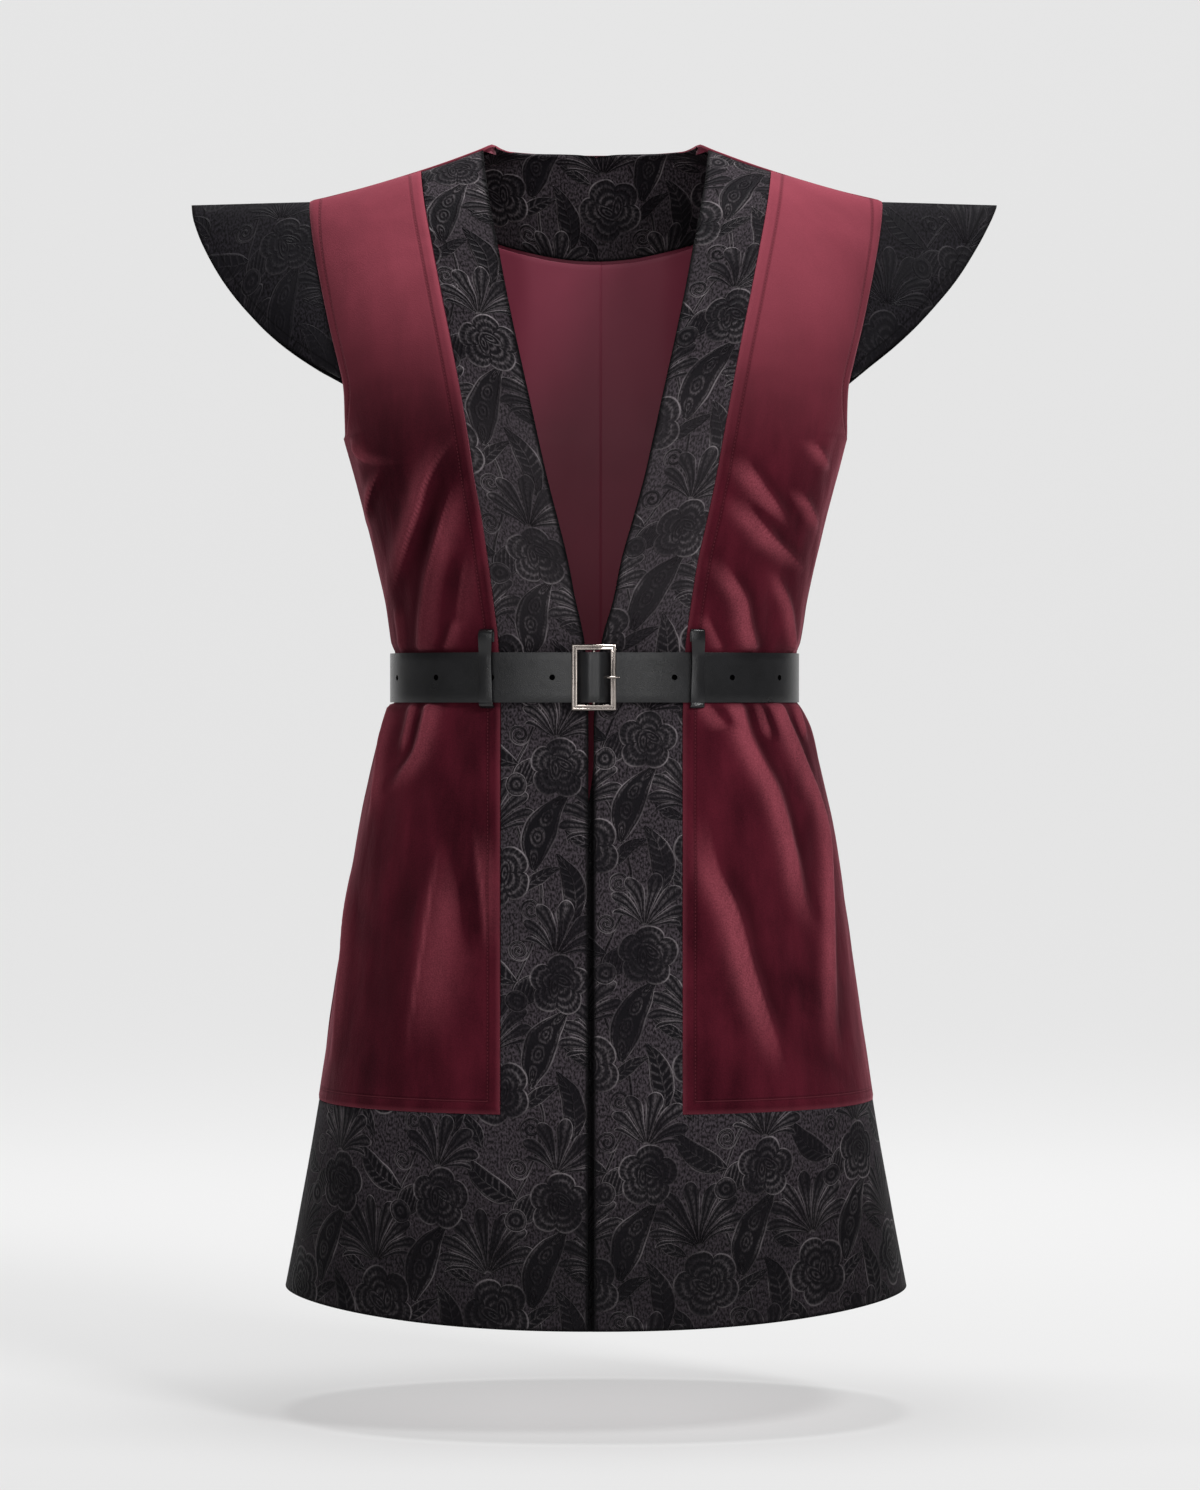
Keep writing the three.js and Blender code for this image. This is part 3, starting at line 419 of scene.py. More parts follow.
FOLDS_RIGHT = (
    Fold(((108, -238), (129, -269), (140, -304), (155, -346), (165, -372), (169, -379)), 12, 5.5, -0.4),
    Fold(((110, -270), (113, -284), (123, -323), (132, -357), (138, -412)), 11, 5.0, 0.45),
    Fold(((196, -240), (187, -256), (172, -266)), 9, 3.4, 0.3),
    Fold(((172, -266), (180, -292), (182, -314)), 9, 4.0, -0.3),
    Fold(((158, -373), (156, -392), (154, -412)), 6, 3.4),
    Fold(((110, -386), (114, -400), (119, -413)), 6, 3.0, 0.3),
    Fold(((100, -330), (106, -370), (110, -405)), 10, 1.8),
    Fold(((162, -458), (170, -492), (174, -523), (182, -561)), 8, 5.0, 0.35),
    Fold(((131, -460), (140, -495), (155, -518), (166, -533)), 9, 5.0, 0.45),
    Fold(((145, -460), (151, -486), (154, -502)), 6, 3.6),
    Fold(((197, -574), (199, -618), (201, -659), (205, -702), (211, -743), (219, -764)), 9, 4.6, 0.4),
    Fold(((96, -549), (87, -616), (85, -661)), 14, 2.2, 0.3),
    Fold(((122, -560), (135, -650), (150, -740)), 26, 3.0, 0.2),
)
FOLDS_LEFT = (
    Fold(((112, -288), (121, -304), (137, -323), (148, -333), (170, -352)), 10, 5.0, 0.4),
    Fold(((115, -256), (122, -271), (147, -307), (154, -317)), 10, 4.0, 0.3),
    Fold(((95, -337), (104, -351), (115, -372), (119, -393), (125, -413)), 9, 4.8, 0.35),
    Fold(((141, -346), (147, -362), (153, -381), (157, -412)), 7, 3.6, 0.3),
    Fold(((86, -383), (90, -394), (99, -413)), 5, 2.4),
    Fold(((159, -282), (171, -302), (176, -319)), 8, 3.6, 0.3),
    Fold(((170, -243), (177, -254), (186, -269)), 8, 3.4, 0.3),
    Fold(((112, -458), (120, -486), (141, -529), (154, -574), (161, -609), (178, -650)), 10, 5.4, 0.45),
    Fold(
        ((143, -458), (154, -482), (169, -518), (182, -557), (185, -605), (187, -691), (189, -723), (199, -760)),
        10, 5.4, 0.45,
    ),
    Fold(((85, -539), (93, -586), (108, -622), (122, -673), (139, -723), (154, -764)), 12, 5.0, 0.4),
    Fold(((160, -460), (164, -474), (167, -490)), 6, 3.4),
    Fold(((88, -460), (96, -471), (103, -481)), 7, 2.8),
    Fold(((128, -460), (133, -474), (138, -490)), 6, 3.0),
)
FOLDS_BACK = (
    Fold(((28, -414), (26, -380), (20, -330)), 8, 3.4, 0.3),
    Fold(((62, -414), (60, -370), (52, -300)), 9, 4.0, 0.3),
    Fold(((96, -414), (98, -360), (104, -280)), 9, 4.2, -0.3),
    Fold(((128, -414), (134, -370), (142, -310)), 8, 3.6, 0.3),
    Fold(((152, -414), (158, -380), (168, -340)), 7, 3.2),
    Fold(((24, -458), (27, -500), (34, -570)), 8, 3.6, 0.3),
    Fold(((58, -458), (64, -540), (76, -680)), 11, 4.6, 0.4),
    Fold(((92, -458), (102, -510), (118, -590)), 8, 4.0, -0.3),
    Fold(((126, -458), (146, -560), (172, -740)), 11, 5.0, 0.4),
    Fold(((152, -458), (162, -500), (174, -560)), 8, 3.8),
    Fold(((196, -590), (204, -680), (214, -764)), 9, 4.4, -0.4),
)


@dataclass
class Relief:
    """How far folds and fine creases lift the cloth off the form, and the painted light on the velvet's folds.
    """

    folds: Sequence[Fold]
    seed: int
    ripple: float = 1.0
    crisp: float = 0.5
    skew: float = 0.0
    shade: float = 1.0
    belt_z: float = -435.5
    belt_height: float = 40.0
    belt_reach: float = 30.0

    def lift(self, drape: Drape) -> tuple[Array, Array]:
        """Work out the lift and the painted crest light at each place.

        Args:
            drape: the cloth, over the form.

        Returns:
            Millimetres outwards, and the painted light: 1 for a painted highlight on a crest, -1 for painted
            shade on a fold's dark side.
        """
        x, z = drape.points[..., 0], drape.points[..., 2]
        z_used = z + self.skew * 1.6 * np.tanh(x / 20.0)
        x = np.abs(x) + self.skew * np.tanh(x / 20.0)
        away = smoothstep((np.abs(z - self.belt_z) - self.belt_height / 2 - 0.5) / 7.0)
        apart = np.maximum(np.abs(np.gradient(x, axis=0)), 0.2)
        stretch = np.clip(np.abs(np.gradient(drape.across, axis=0)) / apart, 1.0, 3.5)
        total, crest_light = np.zeros_like(x), np.zeros_like(x)
        for fold in self.folds:
            off, fade = self.along(fold, x, z_used, stretch)
            wide = fold.wide * np.where(off > 0, 1 - fold.steep, 1 + fold.steep)
            total += fold.high * fade * np.exp(-((off / wide) ** 2))
            steep_off = off if fold.steep >= 0 else -off
            # painted highlight and painted shade for each fold
            crest_light += fade * min(fold.high / 4.0, 1.0) * self.pile_and_painted_light(steep_off, fold.wide)
        lift = (total + self.fine(drape, z) * self.ripple) * away
        return lift, np.clip(crest_light, -1.0, 1.0) * away * self.shade

    def pile_and_painted_light(self, off: Array, wide: float) -> Array:
        """Painted light beside a crest: a painted highlight on it and painted shade on its dark side; distances
        grow towards the fold's steep side.

        Args:
            off: distances from the crest, in millimetres.
            wide: the fold's half width.

        Returns:
            1 for the painted highlight on the crest, and below 0 for painted shade on the dark side.
        """
        # a thin and a broad painted highlight by the crest, minus painted shade on the steep side
        line = np.exp(-(((off - 0.4) / 1.6) ** 2)) * self.crisp
        wash = np.exp(-(((off + 0.5 * wide) / (0.75 * wide)) ** 2)) * (1 - self.crisp)
        painted_dark_side = np.exp(-(((off - 1.0 * wide) / (0.6 * wide)) ** 2))
        return line + wash - 0.55 * painted_dark_side

    def along(self, fold: Fold, x: Array, z: Array, stretch: Array) -> tuple[Array, Array]:
        """Distance from a fold's crest, in millimetres, and the fold's strength there.

        Args:
            fold: the fold.
            x: how far each place lies from the middle.
            z: its height.
            stretch: length along the cloth for each millimetre of x.

        Returns:
            The distances and the strengths.
        """
        heights = [point[1] for point in fold.line]
        low, high = min(heights), max(heights)
        table = SmoothTable(heights, [point[0] for point in fold.line])
        centre = table(z)
        slope = (table(z + 2.0) - table(z - 2.0)) / 4.0
        off = (x - centre) * stretch / np.sqrt(1 + slope**2)
        share = (z - low) / (high - low)
        from_belt, to_belt = (abs(end - self.belt_z) < self.belt_reach for end in (low, high))
        rise = 1.0 if from_belt else smoothstep(share * 2.6)
        fall = 1.0 if to_belt else smoothstep((1 - share) * 2.6)
        near = (z > low - (6 if from_belt else 0)) & (z < high + 6)
        return off, np.where(near, rise * fall, 0.0)

    def fine(self, drape: Drape, z: Array) -> Array:
        """Soft uneven creases, stronger by the belt and fading away from it.

        Args:
            drape: the cloth, over the form.
            z: height of each place.

        Returns:
            The lift, in millimetres.
        """
        rng = np.random.default_rng(self.seed)
        u, v = drape.across, drape.up
        total = np.zeros_like(u)
        for _ in range(26):
            length = rng.uniform(16.0, 70.0)
            slant = rng.uniform(-0.45, 0.45)
            phase, warp = rng.uniform(0, 6.28, 2)
            path = u + slant * v + 9.0 * np.sin(v / rng.uniform(50, 110) + warp)
            patch = 0.5 + 0.5 * np.sin(v / rng.uniform(35, 90) + u / rng.uniform(60, 140) + phase * 3)
            total += length / 60.0 * patch * np.sin(path * 6.283 / length + phase)
        near = np.exp(-np.abs(z - self.belt_z) / 70.0)
        return total * (0.15 + 0.30 * near)


@dataclass
class Sewn:
    """One piece of cloth on its way to becoming a mesh."""

    name: str
    drape: Drape
    lift: Array
    thickness: float
    rim: Array
    materials: tuple[bpy.types.Material, bpy.types.Material]
    # painted light per place: painted highlights on fold crests, painted shade on their dark sides
    crest: Array | None = None
    keep: Callable[[int, int], bool] | None = None
    shift: tuple[float, float] = (0.0, 0.0)

    def make(self) -> bpy.types.Object:
        """Lay the flat cut over the form and give it its thickness.

        Returns:
            The piece, with UV maps Cut (metres on the cloth) and Rim (metres from the edge).
        """
        drape = self.drape
        columns, rows = drape.points.shape[0] - 1, drape.points.shape[1] - 1
        normals = drape.normals()
        outer = drape.points + normals * (self.lift + self.thickness)[..., None]
        bm = bmesh.new()
        bmesh.ops.create_grid(bm, x_segments=columns, y_segments=rows, size=1.0)
        cut, border = bm.loops.layers.uv.new("Cut"), bm.loops.layers.uv.new("Rim")
        # the attribute holds the painted crest light
        crest = bm.verts.layers.float.new("PaintedCrestLight")
        spots = Workshop.spots(bm, columns, rows)
        for f in bm.faces:
            for loop in f.loops:
                spot = spots[loop.vert]
                u, v = drape.across[spot] + self.shift[0], drape.up[spot] + self.shift[1]
                loop[cut].uv = (u * MM, v * MM)
                loop[border].uv = (self.rim[spot] * MM, drape.up[spot] * MM)
        if self.keep is not None:
            gone = [f for f in bm.faces if not self.keep(*self.cell(f, spots))]
            bmesh.ops.delete(bm, geom=gone, context="FACES")
        for v in bm.verts:
            v.co = Vector(outer[spots[v]] * MM)
            v[crest] = 0.0 if self.crest is None else float(self.crest[spots[v]])
        bm.normal_update()
        middle = bm.faces[:][len(bm.faces) // 2]
        if middle.normal.dot(Vector(normals[spots[middle.verts[0]]])) < 0:
            bmesh.ops.reverse_faces(bm, faces=bm.faces)
        piece = Workshop.object_of(bm, self.name)
        Workshop.dress(piece, *self.materials)
        wall = piece.modifiers.new("Wall", "SOLIDIFY")
        wall.thickness, wall.offset, wall.material_offset = self.thickness * MM, -1.0, 1
        edge = piece.modifiers.new("Turned", "BEVEL")
        edge.width, edge.segments, edge.limit_method = self.thickness * 0.36 * MM, 2, "ANGLE"
        edge.angle_limit = math.radians(60)
        Workshop.settle(piece)
        return piece

    @staticmethod
    def cell(f: bmesh.types.BMFace, spots: dict) -> tuple[int, int]:
        """The column and row of a cell, from its corners."""
        return min(spots[v][0] for v in f.verts), min(spots[v][1] for v in f.verts)


class Workshop:
    """Turns bmeshes into finished objects."""

    @staticmethod
    def spots(bm: bmesh.types.BMesh, columns: int, rows: int) -> dict[bmesh.types.BMVert, tuple[int, int]]:
        """Find the column and row of each vertex of a flat grid.

        Args:
            bm: the grid, which reaches from -1 to 1 both ways.
            columns: cells across.
            rows: cells up.

        Returns:
            The column and row of each vertex.
        """
        return {
            v: (round((v.co.x + 1) / 2 * columns), round((v.co.y + 1) / 2 * rows)) for v in bm.verts
        }

    @staticmethod
    def object_of(bm: bmesh.types.BMesh, name: str, smooth: bool = True) -> bpy.types.Object:
        """Put a bmesh in the scene as an object.

        Args:
            bm: the mesh, which is freed.
            name: the object's name.
            smooth: whether its faces are smooth shaded.

        Returns:
            The object.
        """
        mesh = bpy.data.meshes.new(name)
        bm.to_mesh(mesh)
        bm.free()
        mesh.polygons.foreach_set("use_smooth", [smooth] * len(mesh.polygons))
        made = bpy.data.objects.new(name, mesh)
        bpy.context.collection.objects.link(made)
        return made

    @staticmethod
    def settle(piece: bpy.types.Object, sharp: float = 50.0) -> None:
        """Apply a piece's modifiers and shade it smooth up to an angle in degrees.

        Args:
            piece: the piece.
            sharp: the least angle of an edge that is drawn sharp, in degrees.
        """
        graph = bpy.context.evaluated_depsgraph_get()
        mesh = bpy.data.meshes.new_from_object(piece.evaluated_get(graph))
        old = piece.data
        piece.modifiers.clear()
        piece.data = mesh
        bpy.data.meshes.remove(old)
        mesh.name = piece.name
        mesh.set_sharp_from_angle(angle=math.radians(sharp))

    @staticmethod
    def dress(piece: bpy.types.Object, *materials: bpy.types.Material) -> None:
        """Give a piece its materials.

        Args:
            piece: the piece.
            materials: its materials, the outer side's first.
        """
        piece.data.materials.clear()
        for material in materials:
            piece.data.materials.append(material)

    @staticmethod
    def register(piece: bpy.types.Object, slot: str, *nodes: str) -> None:
        """Attach a piece to the root, hide the nodes that it stands for and log them.

        Args:
            piece: the finished piece.
            slot: not used.
            nodes: the nodes that it stands for.
        """
        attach(piece, "root")
        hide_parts(*nodes)
        LOG.info("%s: %d faces for %s", piece.name, len(piece.data.polygons), ", ".join(nodes))


@dataclass
class Wire:
    """A value in a material's node tree, with the operators that add Math nodes."""

    bench: "Bench"
    socket: bpy.types.NodeSocket

    def op(self, name: str, *others: "Wire | float", clamp: bool = False) -> "Wire":
        """Add a Math node."""
        return self.bench.math(name, self, *others, clamp=clamp)

    def __add__(self, other: "Wire | float") -> "Wire":
        """Add."""
        return self.op("ADD", other)

    __radd__ = __add__

    def __sub__(self, other: "Wire | float") -> "Wire":
        """Subtract."""
        return self.op("SUBTRACT", other)

    def __rsub__(self, other: float) -> "Wire":
        """Subtract, reflected."""
        return self.bench.math("SUBTRACT", other, self)

    def __mul__(self, other: "Wire | float") -> "Wire":
        """Multiply."""
        return self.op("MULTIPLY", other)

    __rmul__ = __mul__

    def __truediv__(self, other: "Wire | float") -> "Wire":
        """Divide."""
        return self.op("DIVIDE", other)

    def __pow__(self, other: "Wire | float") -> "Wire":
        """Raise to a power."""
        return self.op("POWER", other)

    def abs(self) -> "Wire":
        """Size without sign."""
        return self.op("ABSOLUTE")

    def sin(self) -> "Wire":
        """Sine."""
        return self.op("SINE")

    def cos(self) -> "Wire":
        """Cosine."""
        return self.op("COSINE")

    def fract(self) -> "Wire":
        """The part after the decimal point."""
        return self.op("FRACT")

    def wrap(self, size: float) -> "Wire":
        """Bring the value to between -size / 2 and size / 2 by whole sizes."""
        return self.op("WRAP", size / 2, -size / 2)

    def clamped(self) -> "Wire":
        """The value, kept from 0 to 1."""
        return self.op("ADD", 0.0, clamp=True)

    def least(self, other: "Wire | float") -> "Wire":
        """The smaller of two."""
        return self.op("MINIMUM", other)

    def most(self, other: "Wire | float") -> "Wire":
        """The larger of two."""
        return self.op("MAXIMUM", other)

    def ease(self, low: float, high: float) -> "Wire":
        """Go smoothly from 0 to 1 as the value goes from low to high.

        Args:
            low: where the result is 0.
            high: where it is 1.

        Returns:
            The eased value.
        """
        node = self.bench.add("ShaderNodeMapRange", {"interpolation_type": "SMOOTHSTEP"}, Value=self)
        node.inputs["From Min"].default_value = low
        node.inputs["From Max"].default_value = high
        return Wire(self.bench, node.outputs[0])

    def line(self, at: float, width: float) -> "Wire":
        """1 where the value is at a level, falling to 0 within a width of it."""
        return 1.0 - ((self - at).abs() / width).least(1.0)


class Bench:
    """A material's node tree, with one method that adds any node."""

    def __init__(self, name: str) -> None:
        """Start a material with its shader.

        Args:
            name: the material's name.
        """
        self.material = bpy.data.materials.new(name)
        self.material.use_nodes = True
        self.tree = self.material.node_tree
        self.shader = self.tree.nodes["Principled BSDF"]

    def add(self, kind: str, settings: dict | None = None, **values: object) -> bpy.types.Node:
        """Add a node.

        Args:
            kind: its type.
            settings: properties that are set first.
            values: what goes into its sockets, by name with _ for a space.

        Returns:
            The node.
        """
        node = self.tree.nodes.new(kind)
        for key, value in (settings or {}).items():
            setattr(node, key, value)
        for key, value in values.items():
            self.feed(node.inputs[key.replace("_", " ")], value)
        return node

    def feed(self, socket: bpy.types.NodeSocket, value: object) -> None:
        """Link or set one socket.

        Args:
            socket: the socket.
            value: a wire or socket to link, or a value to set.
        """
        if isinstance(value, Wire):
            self.tree.links.new(value.socket, socket)
        elif isinstance(value, bpy.types.NodeSocket):
            self.tree.links.new(value, socket)
        else:
            socket.default_value = value

    def math(self, name: str, *values: "Wire | float", clamp: bool = False) -> Wire:
        """Add a Math node.

        Args:
            name: the operation.
            values: its operands.
            clamp: whether the result is kept from 0 to 1.

        Returns:
            The result.
        """
        node = self.add("ShaderNodeMath", {"operation": name, "use_clamp": clamp})
        for socket, value in zip(node.inputs, values):
            self.feed(socket, value)
        return Wire(self, node.outputs[0])

    def vector(self, name: str, *values: object) -> bpy.types.NodeSocket:
        """Add a Vector Math node.

        Args:
            name: the operation.
            values: its operands.

        Returns:
            The resulting vector.
        """
        node = self.add("ShaderNodeVectorMath", {"operation": name})
        for socket, value in zip(node.inputs, values):
            self.feed(socket, value)
        return node.outputs[0]

    def uv(self, name: str) -> bpy.types.NodeSocket:
        """Read a UV map."""
        return self.add("ShaderNodeUVMap", {"uv_map": name}).outputs[0]

    def place(self) -> bpy.types.NodeSocket:
        """Read Object coordinates."""
        return self.add("ShaderNodeTexCoord").outputs["Object"]

    def split(self, vector: bpy.types.NodeSocket) -> tuple[Wire, Wire, Wire]:
        """Take a vector apart."""
        node = self.add("ShaderNodeSeparateXYZ", None, Vector=vector)
        x, y, z = (Wire(self, part) for part in node.outputs)
        return x, y, z

    def noise(
        self, vector: bpy.types.NodeSocket, scale: float, detail: float = 3.0, **more: float
    ) -> Wire:
        """Add a noise texture and read its value."""
        node = self.add("ShaderNodeTexNoise", None, Vector=vector, Scale=scale, Detail=detail, **more)
        return Wire(self, node.outputs[0])

    def mix(self, share: "Wire | float", low: object, high: object) -> bpy.types.NodeSocket:
        """Mix two colours.

        Args:
            share: how much of the second colour shows.
            low: the first colour.
            high: the second colour.

        Returns:
            The mixed colour.
        """
        node = self.add("ShaderNodeMix", {"data_type": "RGBA"})
        self.feed(node.inputs[0], share)
        self.feed(node.inputs[6], low)
        self.feed(node.inputs[7], high)
        return node.outputs[2]

    def bump(
        self, height: Wire, distance: float, strength: float, normal: object = None
    ) -> bpy.types.NodeSocket:
        """Add a Bump node.

        Args:
            height: the relief.
            distance: metres for each unit of it.
            strength: how strongly it shows.
            normal: a normal to build on.

        Returns:
            The new normal.
        """
        node = self.add("ShaderNodeBump", None, Height=height, Distance=distance, Strength=strength)
        if normal is not None:
            self.feed(node.inputs["Normal"], normal)
        return node.outputs[0]

    def set(self, **values: object) -> None:
        """Set or link sockets of the shader."""
        for key, value in values.items():
            self.feed(self.shader.inputs[key.replace("_", " ")], value)


Colour = tuple[float, float, float, float]


@dataclass(frozen=True)
class Velvet:
    """Wine velvet, topstitched along its edges, with painted highlights on the fold crests and painted shade on
    their dark sides.
    """

    deep: Colour = (0.015, 0.0014, 0.0036, 1)
    bright: Colour = (0.090, 0.0100, 0.0195, 1)
    # painted highlight colour for the fold crests, the turned edges and the topstitch thread
    crest: Colour = (0.36, 0.080, 0.108, 1)
    # painted sheen colour for the shoulders
    painted_shoulder_sheen: Colour = (0.23, 0.046, 0.066, 1)
    # painted shade colour, for the topstitch groove and the folds' dark sides
    stitch_groove_shade: Colour = (0.014, 0.0014, 0.003, 1)
    sheen: Colour = (1.0, 0.34, 0.42, 1)

    def make(self) -> bpy.types.Material:
        """Build the material, with a painted sheen that makes the shoulders paler.

        Returns:
            The material.
        """
        b = Bench("wine_velvet")
        place = b.place()
        x, y, z = b.split(place)
        # where the painted shoulder sheen shows, rising towards the shoulders
        high = z.ease(-0.29, -0.11)
        # painted shade on the front of the wearer's right side, just above the belt
        waist = z.ease(-0.46, -0.44) * (1.0 - z.ease(-0.37, -0.30))
        shaded = waist * (1.0 - x.ease(-0.15, -0.07)) * (1.0 - y.ease(-0.02, 0.03))
        cloud = b.noise(place, 8.0, 3.0, Distortion=0.6)
        streak = b.noise(b.vector("MULTIPLY", place, (1.0, 1.0, 0.3)), 48.0, 3.0)
        pile_and_painted_light = b.noise(place, 950.0, 2.0)
        # painted crest light: above 0 a painted highlight on a fold crest, below 0 painted shade on its dark
        # side
        ridge = Wire(b, b.add("ShaderNodeAttribute", {"attribute_name": "PaintedCrestLight"}).outputs["Fac"])
        tone = cloud.ease(0.20, 0.80) * 0.6 + streak.ease(0.30, 0.74) * 0.36 + (pile_and_painted_light - 0.5) * 0.5
        seam, along, _ = b.split(b.uv("Rim"))
        dash = ((along * 2100.0).sin() * 3.0 + 1.2).clamped()
        thread_highlight = seam.line(0.0098, 0.0006) * dash
        groove = seam.line(0.0098, 0.0020)
        roll = 1.0 - seam.ease(0.0, 0.0045)
        colour = b.mix(tone, self.deep, self.bright)
        # painted sheen on the shoulders, patchy with the cloud noise
        colour = b.mix(high * (cloud * 0.8 + 0.35).least(0.95), colour, self.painted_shoulder_sheen)
        # painted highlight on the fold crests, speckled by fine noise and streaks
        lit = (ridge * (pile_and_painted_light * 1.1 + streak * 0.5 - 0.1)).clamped()
        colour = b.mix(lit, colour, self.crest)
        # painted shade on the folds' dark sides
        colour = b.mix((ridge * -0.9).clamped(), colour, self.stitch_groove_shade)
        # the painted waist shade, in the deep colour
        colour = b.mix(shaded * 0.5, colour, self.deep)
        # painted shade in the topstitch groove
        colour = b.mix(groove * 0.5, colour, self.stitch_groove_shade)
        # painted highlight along the turned edges, and the topstitch thread in the highlight colour
        colour = b.mix((roll * 0.14 + thread_highlight * 0.16).least(1.0), colour, self.crest)
        normal = b.bump(cloud * 0.9 + streak * 0.4, 0.007, 0.4)
        relief = pile_and_painted_light * 0.0003 + groove * -0.0008 + thread_highlight * 0.0005 + roll * -0.0009
        normal = b.bump(relief, 1.0, 0.8, normal)
        b.set(Base_Color=colour, Roughness=0.95, Normal=normal)
        b.set(Sheen_Weight=0.35, Sheen_Roughness=0.38, Sheen_Tint=self.sheen, Specular_IOR_Level=0.03)
        return b.material


@dataclass(frozen=True)
class Satin:
    """Smooth lining satin with a fine weave."""

    colour: Colour = (0.26, 0.040, 0.074, 1)
    dark: Colour = (0.20, 0.030, 0.056, 1)

    def make(self) -> bpy.types.Material:
        """Build the material.

        Returns:
            The material.
        """
        b = Bench("lining_satin")
        place = b.place()
        cloud = b.noise(place, 7.0, 3.0)
        weave = b.noise(b.vector("MULTIPLY", place, (1.0, 1.0, 0.2)), 2600.0, 1.0)
        seam = (b.split(place)[0] - 0.004).line(0.0, 0.0012)
        colour = b.mix(cloud.ease(0.3, 0.7) * 0.8 + weave * 0.2, self.dark, self.colour)
        normal = b.bump(weave * 0.0001 + cloud * 0.004 + seam * -0.0006, 1.0, 0.5)
        b.set(Base_Color=colour, Roughness=0.5, Normal=normal)
        b.set(Sheen_Weight=0.15, Sheen_Roughness=0.4, Specular_IOR_Level=0.3)
        return b.material


@dataclass(frozen=True)
class Leather:
    """Black belt leather: fine grain and worn patches."""

    name: str = "belt_leather"
    colour: Colour = (0.0045, 0.0045, 0.0052, 1)
    worn: Colour = (0.0085, 0.0085, 0.0098, 1)
    gloss: float = 0.42

    def make(self) -> bpy.types.Material:
        """Build the material.

        Returns:
            The material.
        """
        b = Bench(self.name)
        place = b.place()
        grain = b.add("ShaderNodeTexVoronoi", {"feature": "DISTANCE_TO_EDGE"}, Vector=place, Scale=900.0)
        cell = Wire(b, grain.outputs[0])
        cloud = b.noise(place, 30.0, 4.0)
        colour = b.mix(cloud.ease(0.35, 0.75), self.colour, self.worn)
        normal = b.bump(cell.least(0.35) * 0.0004 + cloud * 0.001, 1.0, 0.35)
        b.set(Base_Color=colour, Roughness=cloud * 0.12 + 0.23, Normal=normal)
        b.set(Specular_IOR_Level=self.gloss)
        return b.material


@dataclass(frozen=True)
class Nickel:
    """Pale polished buckle metal with a soft brushing."""

    colour: Colour = (0.34, 0.30, 0.275, 1)
    worn: Colour = (0.25, 0.215, 0.195, 1)

    def make(self) -> bpy.types.Material:
        """Build the material.

        Returns:
            The material.
        """
        b = Bench("buckle_nickel")
        place = b.place()
        cloud = b.noise(place, 160.0, 4.0)
        colour = b.mix(cloud.ease(0.45, 0.8), self.colour, self.worn)
        b.set(Base_Color=colour, Metallic=1.0, Roughness=cloud * 0.10 + 0.10)
        return b.material


@dataclass(frozen=True)
class Spot:
    """Where a motif stands in the repeat, in millimetres and degrees."""

    x: float
    y: float
    turn: float


